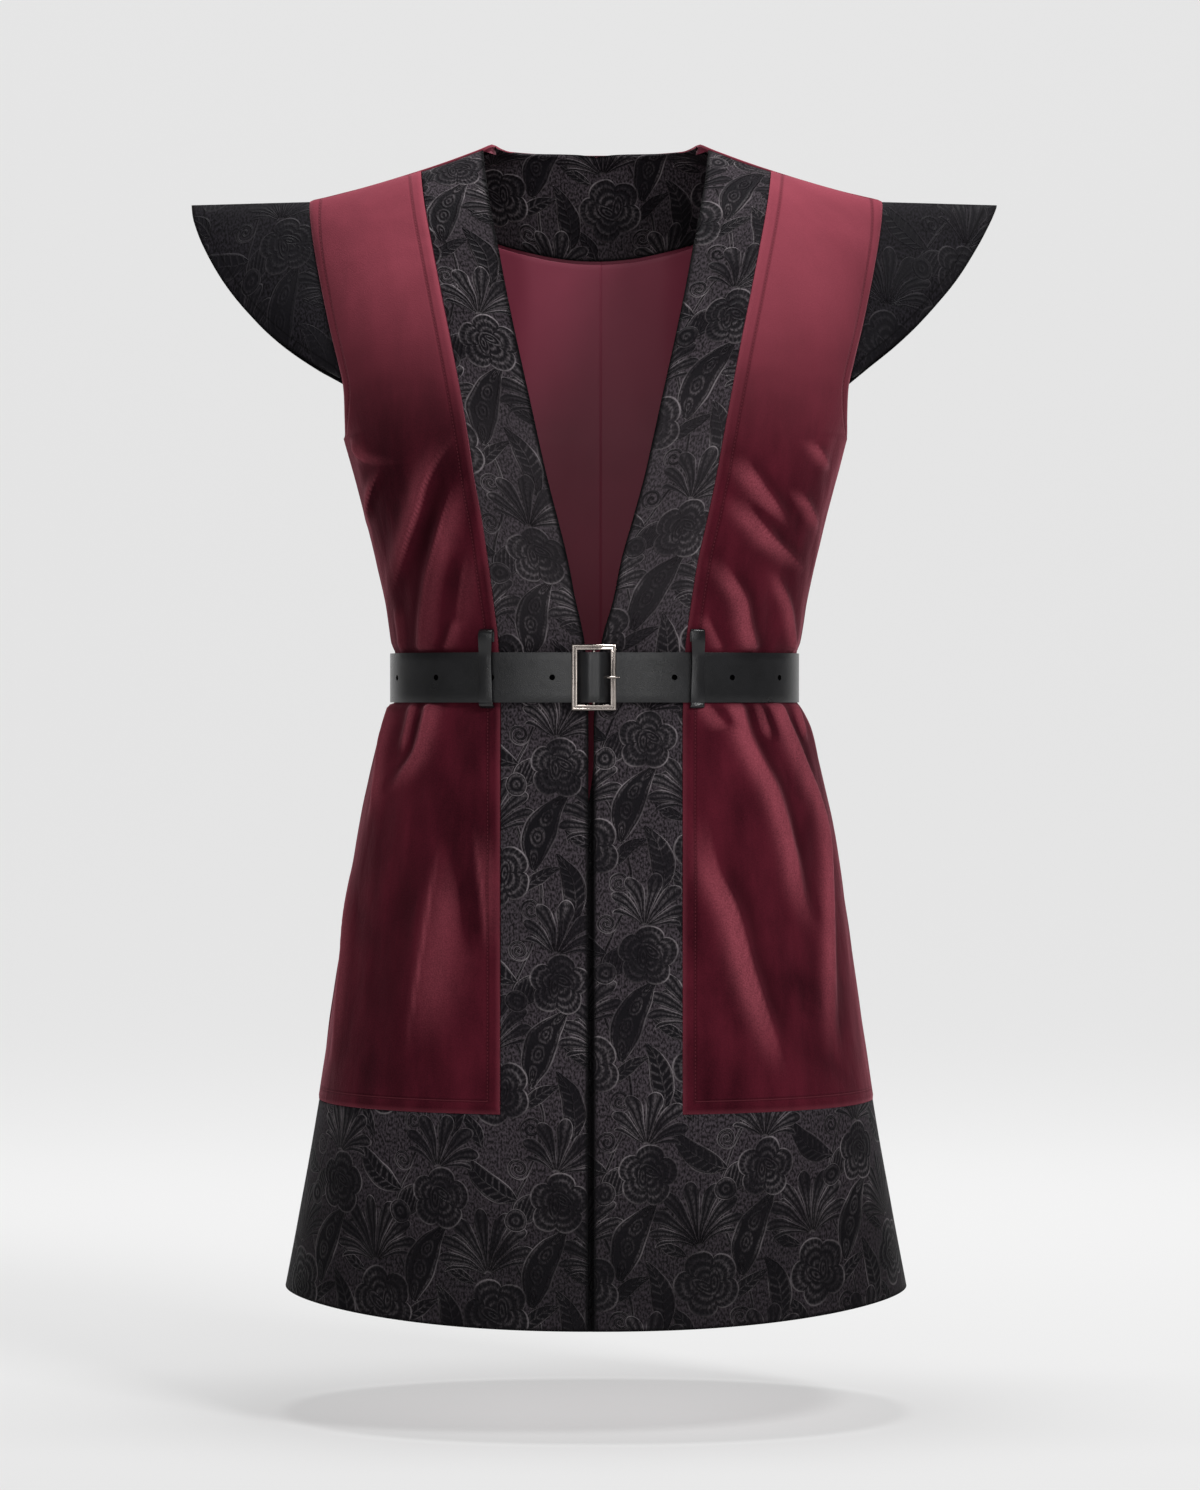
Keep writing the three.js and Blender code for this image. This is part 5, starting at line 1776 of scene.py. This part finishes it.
@dataclass
class CapSleeves:
    """The stiff pointed cap sleeves."""

    panels: Panels
    thickness: float = 2.0
    across: int = 30
    half: int = 44
    notch_front: float = 0.151
    notch_back: float = 0.16

    def seam(self, face: Face) -> Array:
        """Places along the armhole from the ridge down to the notch.

        Args:
            face: front or back.

        Returns:
            One row each: the place, and the step outwards along the form.
        """
        form = self.panels.form
        notch = self.notch_front if face is Face.FRONT else self.notch_back
        levels = np.linspace(1.0, notch, 120)
        points = []
        for level in levels:
            row = form.row(face, float(level))
            end = row.at(np.array([row.total]))[0]
            back = row.at(np.array([row.total - 1.0]))[0]
            points.append(np.concatenate([end, end - back]))
        return np.array(points)

    def make(self, side: Side) -> None:
        """Make one cap sleeve.

        Args:
            side: the wearer's side.
        """
        ends = {face: self.even(self.seam(face)) for face in Face}
        seam = np.concatenate([ends[Face.FRONT][::-1], ends[Face.BACK][1:]])
        rim_edge = {face: self.edge(side, face) for face in Face}
        edge = np.concatenate([rim_edge[Face.FRONT][::-1], rim_edge[Face.BACK][1:]])
        share = np.linspace(0, 1, self.across + 1)
        turn = np.abs(np.arange(len(seam)) - self.half) / self.half
        sign = np.sign(np.arange(len(seam)) - self.half)
        start = seam[:, :3] + seam[:, 3:] * (0.5 * (1 + 3 * turn**4))[:, None]
        points = start[None] + (edge - start)[None] * share[:, None, None]
        points[..., 1] += sign * 5.0 * np.sin(math.pi * share)[:, None] * np.sin(math.pi * turn)
        drop = np.linalg.norm(np.diff(points, axis=0), axis=-1)
        across = np.concatenate([np.zeros((1, len(seam))), np.cumsum(drop, axis=0)])
        drape = Drape(points, across, rises(points))
        rim = across[-1:] - across
        if side is Side.RIGHT:
            drape = drape.mirrored()
        cloth = (self.panels.finish.sleeve, self.panels.finish.sleeve)
        name = "cap_sleeve_" + side.value + "_cloth"
        piece = Sewn(name, drape, np.zeros(rim.shape), self.thickness, rim, cloth).make()
        Workshop.register(piece, "brocade", "cap_sleeve_" + side.value)

    def even(self, line: Array) -> Array:
        """Thin a line of places to even steps.

        Args:
            line: the places, one row each.

        Returns:
            Places a step apart, with the other columns read along.
        """
        lengths = run_of(line[:, :3])
        at = np.linspace(0, lengths[-1], self.half + 1)
        return np.stack([np.interp(at, lengths, line[:, k]) for k in range(line.shape[1])], axis=1)

    def edge(self, side: Side, face: Face) -> Array:
        """Places along the outer edge, from the tip down.

        Args:
            side: the wearer's side.
            face: front or back.

        Returns:
            The places, evenly spaced.
        """
        rows = np.array([[getattr(c, side.value), face.value * c.y, c.z] for c in CAP_EDGE])
        at = run_of(rows)
        fine = np.linspace(0, at[-1], 200)
        smooth = np.stack([SmoothTable(at, rows[:, k])(fine) for k in range(3)], axis=1)
        return self.even(smooth)


@dataclass(frozen=True)
class Stop:
    """A place on a leather strap's route: along, out from the form, and how thick it is there."""

    along: float
    depth: float
    thick: float = 2.0


@dataclass
class Belt:
    """The leather belt, its two loops and its buckle."""

    form: BodyForm
    finish: Finishes
    z: float = -435.5
    height: float = 40.0
    cloth: float = 2.2
    gap: float = 0.9
    leather: float = 2.0
    buckle_x: float = -1.5
    hole_radius: float = 2.3
    hole_spacing: float = 48.0
    tail_hole: float = 34.0
    body_hole: float = -62.0
    tail_end: float = 236.0
    tip_length: float = 14.0
    loop_arc_r: float = 86.0
    loop_arc_l: float = 80.0
    loop_width: float = 10.8
    loop_top: float = -397.0
    loop_bottom: float = -458.5
    bar_radius: float = 1.2
    bar_depth: float = 7.4
    buckle_width: float = 35.4
    buckle_height: float = 52.6
    buckle_back: float = 7.9
    buckle_front: float = 11.4

    def __post_init__(self) -> None:
        """Work out the waist's line."""
        level = self.form.level_of(self.z)
        self.rows = {face: self.form.row(face, level) for face in Face}
        self.front, self.back = self.rows[Face.FRONT].total, self.rows[Face.BACK].total
        self.waist = 2 * (self.front + self.back)
        self.under = self.cloth + self.gap + self.leather / 2
        self.over = self.under + self.leather + 0.3

    def on_waist(self, arc: float) -> tuple[Array, Array]:
        """A place on the waist and its outward normal.

        Args:
            arc: distance round from the centre front, first towards the wearer's right.

        Returns:
            The place and the normal, level with the belt.
        """
        turn = arc % self.waist
        face, length = Face.FRONT, -turn
        if turn > self.front:
            face, length = Face.BACK, turn - self.front - self.back
        if turn > self.front + 2 * self.back:
            face, length = Face.FRONT, self.waist - turn
        row = self.rows[face]
        place = row.at(np.array([length]))[0]
        ahead = row.at(np.array([min(length + 0.6, row.total)]))[0]
        behind = row.at(np.array([max(length - 0.6, -row.total)]))[0]
        normal = np.array([-(ahead - behind)[1], (ahead - behind)[0], 0.0]) * face.value
        return np.array([place[0], place[1], self.z]), normal / np.linalg.norm(normal)

    def route(self) -> list[Stop]:
        """The strap's route: round the centre bar, about the back, through the buckle, over itself.

        Returns:
            The stops, from the end under the centre bar to the tip.
        """
        bar, deep, wrap = -self.buckle_x, self.bar_depth, self.bar_radius + 0.9
        hump = deep + wrap + 0.9 + self.leather / 2
        turns = np.linspace(0.5, -0.5, 9) * math.pi
        fold = [Stop(bar - wrap * math.cos(t), deep + wrap * math.sin(t), 1.2) for t in turns]
        body = [Stop(float(a), self.under) for a in np.linspace(14, self.waist - 34, 110)]
        through = (
            (-24, self.under + 0.4),
            (-18, self.under + 1),
            (-13, self.under + 1.6),
            (-9, hump - 4.2),
            (-5, hump - 1.2),
            (-2, hump - 0.1),
            (bar, hump - 0.3),
            (bar + 3.5, hump),
            (bar + 6.5, hump - 1.2),
            (bar + 10, hump - 3.6),
            (bar + 13, self.over),
        )
        tail = [Stop(self.waist + float(a), self.over) for a in np.linspace(20, self.tail_end, 36)]
        return [
            Stop(bar + 4.5, deep + wrap - 0.9, 1.2),
            *fold,
            Stop(bar + 4, deep - wrap - 0.2, 1.2),
            Stop(bar + 8, self.under + 0.1, 1.4),
            *body,
            *[Stop(self.waist + a, d) for a, d in through],
            *tail,
        ]

    @staticmethod
    def smooth(stops: Sequence[Stop], per: int) -> list[Stop]:
        """Add places between the stops of a route.

        Args:
            stops: the route.
            per: how many places replace each step.

        Returns:
            The finer route.
        """
        at = np.arange(len(stops), dtype=float)
        fine = np.linspace(0, len(stops) - 1, (len(stops) - 1) * per + 1)
        columns = [
            SmoothTable(at, [getattr(s, k) for s in stops])(fine) for k in ("along", "depth", "thick")
        ]
        return [Stop(*map(float, row)) for row in zip(*columns)]

    def strip(self, name: str, places: Array, out: Array, thick: Array, rows: int) -> bpy.types.Object:
        """Make a strap from a grid of places, with an even wall and rounded edges.

        Args:
            name: the piece's name.
            places: the middle of the leather, columns first.
            out: a direction that the outer side faces, for each column.
            thick: thickness at each column.
            rows: cells across the strap.

        Returns:
            The strap with its wall and bevel as modifiers.
        """
        bm = bmesh.new()
        columns = len(places) - 1
        bmesh.ops.create_grid(bm, x_segments=columns, y_segments=rows, size=1.0)
        weight = bm.verts.layers.deform.verify()
        cut = bm.loops.layers.uv.new("Cut")
        run = run_of(places[:, 0])
        rise = np.linalg.norm(places[0] - places[0, :1], axis=1)
        spots = Workshop.spots(bm, columns, rows)
        for f in bm.faces:
            for loop in f.loops:
                i, j = spots[loop.vert]
                loop[cut].uv = (run[i] * MM, rise[j] * MM)
        for v, (i, j) in spots.items():
            v.co = Vector(places[i, j] * MM)
            v[weight][0] = float(thick[i] / thick.max())
        bm.normal_update()
        middle = bm.faces[:][len(bm.faces) // 2]
        if middle.normal.dot(Vector(out[spots[middle.verts[0]][0]])) < 0:
            bmesh.ops.reverse_faces(bm, faces=bm.faces)
        piece = Workshop.object_of(bm, name)
        piece.vertex_groups.new(name="thick")
        Workshop.dress(piece, self.finish.leather)
        wall = piece.modifiers.new("Wall", "SOLIDIFY")
        wall.thickness, wall.offset, wall.vertex_group = float(thick.max()) * MM, 0.0, "thick"
        return piece

    @staticmethod
    def rounded(piece: bpy.types.Object, width: float, bend: float = 50.0, sharp: float = 40.0) -> None:
        """Round a piece's edges and apply its modifiers.

        Args:
            piece: the piece.
            width: the rounding, in millimetres.
            bend: the least angle of an edge that is rounded, in degrees.
            sharp: the least angle of an edge that is drawn sharp.
        """
        edge = piece.modifiers.new("Rounded", "BEVEL")
        edge.width, edge.segments, edge.limit_method = width * MM, 3, "ANGLE"
        edge.angle_limit = math.radians(bend)
        Workshop.settle(piece, sharp)

    def strap(self) -> None:
        """Make the strap with its punched holes and rounded tip."""
        stops = self.smooth(self.route(), 3)
        rows = 6
        places, out = np.zeros((len(stops), rows + 1, 3)), np.zeros((len(stops), 3))
        end = stops[-1].along
        for i, stop in enumerate(stops):
            place, normal = self.on_waist(stop.along)
            out[i] = normal
            tip = max(1 - (end - stop.along) / self.tip_length, 0.0)
            half = self.height / 2 * (1 - 0.45 * tip**3)
            for j, part in enumerate(np.linspace(-1, 1, rows + 1)):
                places[i, j] = place + normal * stop.depth + np.array([0, 0, half * part])
        piece = self.strip("belt_leather_strap", places, out, np.array([s.thick for s in stops]), rows)
        self.rounded(piece, 0.45)
        punches = self.punches()
        cut = piece.modifiers.new("Holes", "BOOLEAN")
        cut.operation, cut.object = "DIFFERENCE", punches
        cut.solver, cut.material_mode = "MANIFOLD", "TRANSFER"
        Workshop.settle(piece, 40.0)
        bpy.data.objects.remove(punches)
        Workshop.register(piece, "leather", "belt_strap")

    def punches(self) -> bpy.types.Object:
        """Make the round punches for the holes and the prong's slot.

        Returns:
            The punches as one object.
        """
        bm = bmesh.new()
        steps = [self.hole_spacing * k for k in range(4)]
        tail = [(self.tail_hole + step, self.over) for step in steps]
        body = [(self.body_hole - step, self.under) for step in steps]
        for arc, depth in tail + body:
            place, normal = self.on_waist(arc)
            start, end = place + normal * (depth - 0.7), place + normal * (depth + 3.0)
            self.post(bm, start, end, self.hole_radius, 24)
        centre, normal = self.on_waist(0.0)
        slot = centre + np.array([self.buckle_x, 0, 0]) + normal * (self.bar_depth - 1.4)
        box = bmesh.ops.create_cube(bm, size=1.0)
        bmesh.ops.scale(bm, vec=(0.009, 0.009, 0.0044), verts=box["verts"])
        bmesh.ops.translate(bm, vec=Vector(slot * MM), verts=box["verts"])
        tool = Workshop.object_of(bm, "belt_punches", smooth=False)
        Workshop.dress(tool, self.finish.cut_leather)
        return tool

    @staticmethod
    def post(bm: bmesh.types.BMesh, start: Array, end: Array, radius: float, sides: int) -> None:
        """Add a round post between two places.

        Args:
            bm: the mesh it is added to.
            start: the first place, in millimetres.
            end: the second place.
            radius: its radius.
            sides: its number of sides.
        """
        length = float(np.linalg.norm(end - start))
        made = bmesh.ops.create_cone(
            bm, cap_ends=True, segments=sides, radius1=radius * MM, radius2=radius * MM, depth=length * MM
        )
        turn = Vector(end - start).to_track_quat("Z", "Y").to_matrix()
        bmesh.ops.rotate(bm, cent=(0, 0, 0), matrix=turn, verts=made["verts"])
        bmesh.ops.translate(bm, vec=Vector((start + end) / 2 * MM), verts=made["verts"])

    def loop(self, side: Side) -> None:
        """Make one belt loop, sewn down above and below the belt and standing over it.

        Args:
            side: the wearer's side.
        """
        arc = self.loop_arc_r if side is Side.RIGHT else self.loop_arc_l
        over = (self.over if side is Side.RIGHT else self.under) + self.leather / 2 + 0.8
        base = self.cloth + 1.3
        stops = (
            Stop(self.loop_top - 10, base + 0.2),
            Stop(self.loop_top - 5, base),
            Stop(self.loop_top - 1.6, base + 1.2),
            Stop(self.loop_top - 1, base + 3.2),
            Stop(self.loop_top - 3.4, over + 1.6),
            Stop(self.loop_top - 10, over + 2.4),
            Stop(self.loop_top - 19, over + 2.2),
            Stop(self.z, over + 1.6),
            Stop(self.loop_bottom + 8, over + 1.6),
            Stop(self.loop_bottom + 2, over + 0.6),
            Stop(self.loop_bottom, base + 2.6),
            Stop(self.loop_bottom - 0.6, base + 0.6),
        )
        fine = self.smooth(stops, 5)
        rows = 8
        places, out = np.zeros((len(fine), rows + 1, 3)), np.zeros((len(fine), 3))
        for i, stop in enumerate(fine):
            high = self.z if abs(stop.along - self.z) < self.height / 2 + 1 else stop.along
            row = self.form.row(Face.FRONT, round(self.form.level_of(high), 4))
            out[i] = (0, -1, 0)
            waist = 1 - 0.16 * math.exp(-(((stop.along + 425) / 16) ** 2))
            for j, part in enumerate(np.linspace(-0.5, 0.5, rows + 1)):
                length = arc + part * self.loop_width * waist
                place = row.at(np.array([length]))[0]
                step = row.at(np.array([length + 0.6]))[0] - row.at(np.array([length - 0.6]))[0]
                normal = np.array([step[1], -step[0], 0.0]) / np.linalg.norm(step[:2])
                crown = 0.7 * (1 - (2 * part) ** 2)
                spot = place + normal * (stop.depth + crown)
                places[i, j] = (spot[0] * side.sign, spot[1], stop.along)
        name = "belt_loop_" + side.value
        piece = self.strip(name + "_leather", places, out, np.full(len(fine), 2.0), rows)
        self.rounded(piece, 0.5)
        Workshop.register(piece, "leather", name)

    def buckle(self) -> None:
        """Make the buckle's frame: a raised rim, a groove and an inner rim, round a centre bar."""
        bm = bmesh.new()
        bmesh.ops.create_grid(bm, x_segments=1, y_segments=1, size=0.5)
        bmesh.ops.scale(bm, vec=(self.buckle_width * MM, self.buckle_height * MM, 1), verts=bm.verts)
        face = bm.faces[:][0]
        if face.normal.z < 0:
            bmesh.ops.reverse_faces(bm, faces=[face])
        tall = self.buckle_front - self.buckle_back
        steps = (
            (0.00, tall - 1.25),
            (0.15, 0.45),
            (0.35, 0.45),
            (0.45, 0.30),
            (0.45, 0.05),
            (0.40, -0.35),
            (0.30, -0.55),
            (0.30, -0.15),
            (0.30, 0.20),
            (0.35, 0.45),
            (0.45, 0.25),
            (0.45, -0.05),
            (0.40, -0.35),
            (0.25, -0.50),
            (0.15, -0.55),
            (0.00, 1.6 - tall),
        )
        for inset, rise in steps:
            if inset:
                bmesh.ops.inset_region(
                    bm, faces=[face], thickness=inset * MM, use_even_offset=True, use_boundary=True
                )
            else:
                grown = bmesh.ops.extrude_face_region(bm, geom=[face])
                old = face
                face = [g for g in grown["geom"] if isinstance(g, bmesh.types.BMFace)][0]
                bmesh.ops.delete(bm, geom=[old], context="FACES_KEEP_BOUNDARY")
            bmesh.ops.translate(bm, vec=(0, 0, rise * MM), verts=face.verts)
        inner = list(face.edges)
        outer = [e for e in bm.edges if e.is_boundary and e not in inner]
        bmesh.ops.delete(bm, geom=[face], context="FACES_KEEP_BOUNDARY")
        bmesh.ops.bridge_loops(bm, edges=outer + inner)
        bmesh.ops.recalc_face_normals(bm, faces=bm.faces)
        front = self.on_waist(0.0)[0][1]
        turn = Matrix.Rotation(math.radians(90), 3, "X")
        bmesh.ops.rotate(bm, cent=(0, 0, 0), matrix=turn, verts=bm.verts)
        move = Vector((self.buckle_x, front - self.buckle_back, self.z)) * MM
        bmesh.ops.translate(bm, vec=move, verts=bm.verts)
        middle = np.array([self.buckle_x, front - self.bar_depth, self.z])
        reach = np.array([0, 0, self.buckle_height / 2 - 2.2])
        self.post(bm, middle - reach, middle + reach, self.bar_radius, 16)
        piece = Workshop.object_of(bm, "buckle_rim")
        Workshop.dress(piece, self.finish.nickel)
        self.rounded(piece, 0.35, 70.0, 62.0)
        Workshop.register(piece, "buckle", "buckle_frame")

    def prong(self) -> None:
        """Make the prong: a bent, tapered wire with a ring round the centre bar."""
        front = self.on_waist(0.0)[0][1]
        high = self.buckle_front + 1.3
        stops = (
            (2.1, self.bar_depth),
            (5.0, self.bar_depth + 0.3),
            (8.5, self.bar_depth + 2.2),
            (11.5, high - 0.3),
            (15.0, high + 0.1),
            (20.5, high - 0.1),
        )
        fine = self.smooth([Stop(a, d, 1.0) for a, d in stops], 5)
        line = [np.array([self.buckle_x + s.along, front - s.depth, self.z]) for s in fine]
        bm = bmesh.new()
        ring = bmesh.ops.create_circle(bm, cap_ends=False, segments=14, radius=MM)
        turn = Matrix.Rotation(math.radians(90), 3, "Y")
        bmesh.ops.rotate(bm, cent=(0, 0, 0), matrix=turn, verts=ring["verts"])
        bmesh.ops.translate(bm, vec=Vector(line[0] * MM), verts=ring["verts"])
        edges = list(bm.edges)
        for k in range(1, len(line)):
            grown = bmesh.ops.extrude_edge_only(bm, edges=edges)
            edges = [g for g in grown["geom"] if isinstance(g, bmesh.types.BMEdge)]
            verts = [g for g in grown["geom"] if isinstance(g, bmesh.types.BMVert)]
            bmesh.ops.translate(bm, vec=Vector((line[k] - line[k - 1]) * MM), verts=verts)
            if k > len(line) - 4:
                size = 0.86 if k < len(line) - 1 else 0.6
                centre = Matrix.Translation(Vector(line[k] * MM)).inverted()
                bmesh.ops.scale(bm, vec=(1, size, size), space=centre, verts=verts)
        bmesh.ops.holes_fill(bm, edges=bm.edges, sides=20)
        bmesh.ops.recalc_face_normals(bm, faces=bm.faces)
        self.collar(bm, Vector((self.buckle_x, front - self.bar_depth, self.z)) * MM)
        piece = Workshop.object_of(bm, "buckle_pin")
        Workshop.dress(piece, self.finish.nickel)
        Workshop.settle(piece, 40.0)
        Workshop.register(piece, "buckle", "buckle_prong")

    def collar(self, bm: bmesh.types.BMesh, centre: Vector) -> None:
        """Add the prong's ring round the centre bar, by spinning its section.

        Args:
            bm: the prong's mesh.
            centre: the centre bar's middle, in metres.
        """
        made = bmesh.ops.create_circle(bm, cap_ends=False, segments=8, radius=0.55 * MM)
        verts = made["verts"]
        turn = Matrix.Rotation(math.radians(90), 3, "X")
        bmesh.ops.rotate(bm, cent=(0, 0, 0), matrix=turn, verts=verts)
        bmesh.ops.scale(bm, vec=(1, 1, 2.6), verts=verts)
        bmesh.ops.translate(bm, vec=centre + Vector((2.05 * MM, 0, 0)), verts=verts)
        edges = list({e for v in verts for e in v.link_edges})
        bmesh.ops.spin(
            bm, geom=verts + edges, cent=centre, axis=(0, 0, 1), angle=math.tau, steps=20, use_merge=True
        )

    def make(self) -> None:
        """Make every piece of the belt."""
        self.strap()
        for side in Side:
            self.loop(side)
        self.buckle()
        self.prong()


@dataclass
class Studio:
    """The pale floor and sweep, the lights and the camera.

    The camera's focal length, its aim below the level and the frame's height are in pixels.
    """

    distance: float = 3.5
    aside: float = 0.0033
    eye: float = -0.4535
    focal: float = 4268.0
    aim: float = 45.0
    frame_height: float = 1490.0
    floor: float = -1.036
    radius: float = 2.2
    front: float = 5.0
    back: float = 4.0
    wall: float = 4.0
    half_width: float = 7.0
    grey: float = 0.30
    glow: float = 0.64

    def build(self) -> None:
        """Set up the studio."""
        self.sweep()
        self.lamp("key", (1.9, -2.1, 2.1), (0, 0, -0.3), (0.9, 0.9), 84)
        self.lamp("fill", (-2.0, -2.6, 1.0), (0, 0, -0.4), (1.6, 1.6), 6)
        self.lamp("front", (0.0, -4.0, 0.1), (0, 0, -0.45), (3.0, 1.0), 40)
        self.lamp("top", (0.0, 0.0, 2.4), (0, 0, -0.6), (0.9, 0.9), 78)
        world = bpy.data.worlds.new("studio")
        bpy.context.scene.world = world
        world.use_nodes = True
        world.node_tree.nodes["Background"].inputs[0].default_value = (1, 1, 1, 1)
        world.node_tree.nodes["Background"].inputs[1].default_value = 0.12
        bpy.context.scene.view_settings.view_transform = "Standard"
        self.camera()

    def sweep(self) -> None:
        """Make the floor, curved up into a backdrop."""
        bm = bmesh.new()
        bmesh.ops.create_grid(bm, x_segments=2, y_segments=48, size=1.0)
        bend = self.radius * math.pi / 2
        whole = self.front + self.back + bend + self.wall
        for v in bm.verts:
            length = (v.co.y + 1) / 2 * whole - self.front
            turn = min(max((length - self.back) / self.radius, 0.0), math.pi / 2)
            y = min(length, self.back) + self.radius * math.sin(turn)
            z = self.radius * (1 - math.cos(turn)) + max(length - self.back - bend, 0.0)
            v.co = Vector((v.co.x * self.half_width, y, z + self.floor))
        bmesh.ops.recalc_face_normals(bm, faces=bm.faces)
        floor = Workshop.object_of(bm, "studio_sweep")
        b = Bench("studio_grey")
        light, dark = (self.grey,) * 3 + (1,), (self.grey * 0.985,) * 3 + (1,)
        cloud = b.noise(b.place(), 0.8, 2.0)
        b.set(Base_Color=b.mix(cloud, light, dark), Roughness=0.95, Specular_IOR_Level=0.0)
        far = b.split(b.place())[1].ease(-0.8, 1.9)
        glow = b.mix(far, (0.66, 0.66, 0.66, 1), (1, 1, 1, 1))
        b.set(Emission_Color=glow, Emission_Strength=self.glow)
        b.material.cycles.emission_sampling = "NONE"
        Workshop.dress(floor, b.material)

    def lamp(self, name: str, at: tuple, towards: tuple, size: tuple, power: float) -> None:
        """Hang one soft light.

        Args:
            name: name of the light.
            at: where it hangs.
            towards: where it points.
            size: width and height of its face.
            power: its watts.
        """
        data = bpy.data.lights.new(name, "AREA")
        data.shape, data.energy = "RECTANGLE", power
        data.size, data.size_y = size
        lamp = bpy.data.objects.new(name, data)
        lamp.location = at
        lamp.rotation_euler = (Vector(towards) - Vector(at)).to_track_quat("-Z", "Y").to_euler()
        bpy.context.collection.objects.link(lamp)

    def camera(self) -> None:
        """Stand the camera at the photograph's view."""
        data = bpy.data.cameras.new("camera")
        data.sensor_width = 36.0
        data.lens = data.sensor_width * self.focal / self.frame_height
        camera = bpy.data.objects.new("camera", data)
        camera.location = (self.aside, -self.distance, self.eye)
        camera.rotation_euler = (math.radians(90) - math.atan(self.aim / self.focal), 0, 0)
        bpy.context.collection.objects.link(camera)
        bpy.context.scene.camera = camera


def main() -> None:
    """Build the vest and the studio."""
    logging.basicConfig(level=logging.INFO, format="%(message)s")
    Studio().build()
    finish = Finishes.make()
    form = BodyForm()
    panels = Panels(form, finish)
    panels.front_velvet(Side.RIGHT, FOLDS_RIGHT)
    panels.front_velvet(Side.LEFT, FOLDS_LEFT)
    for side in Side:
        panels.front_brocade(side)
    panels.back_velvet()
    panels.back_hem()
    panels.neck_facing()
    panels.lining()
    caps = CapSleeves(panels)
    for side in Side:
        caps.make(side)
    Belt(form, finish).make()


if __name__ == "__main__":
    main()
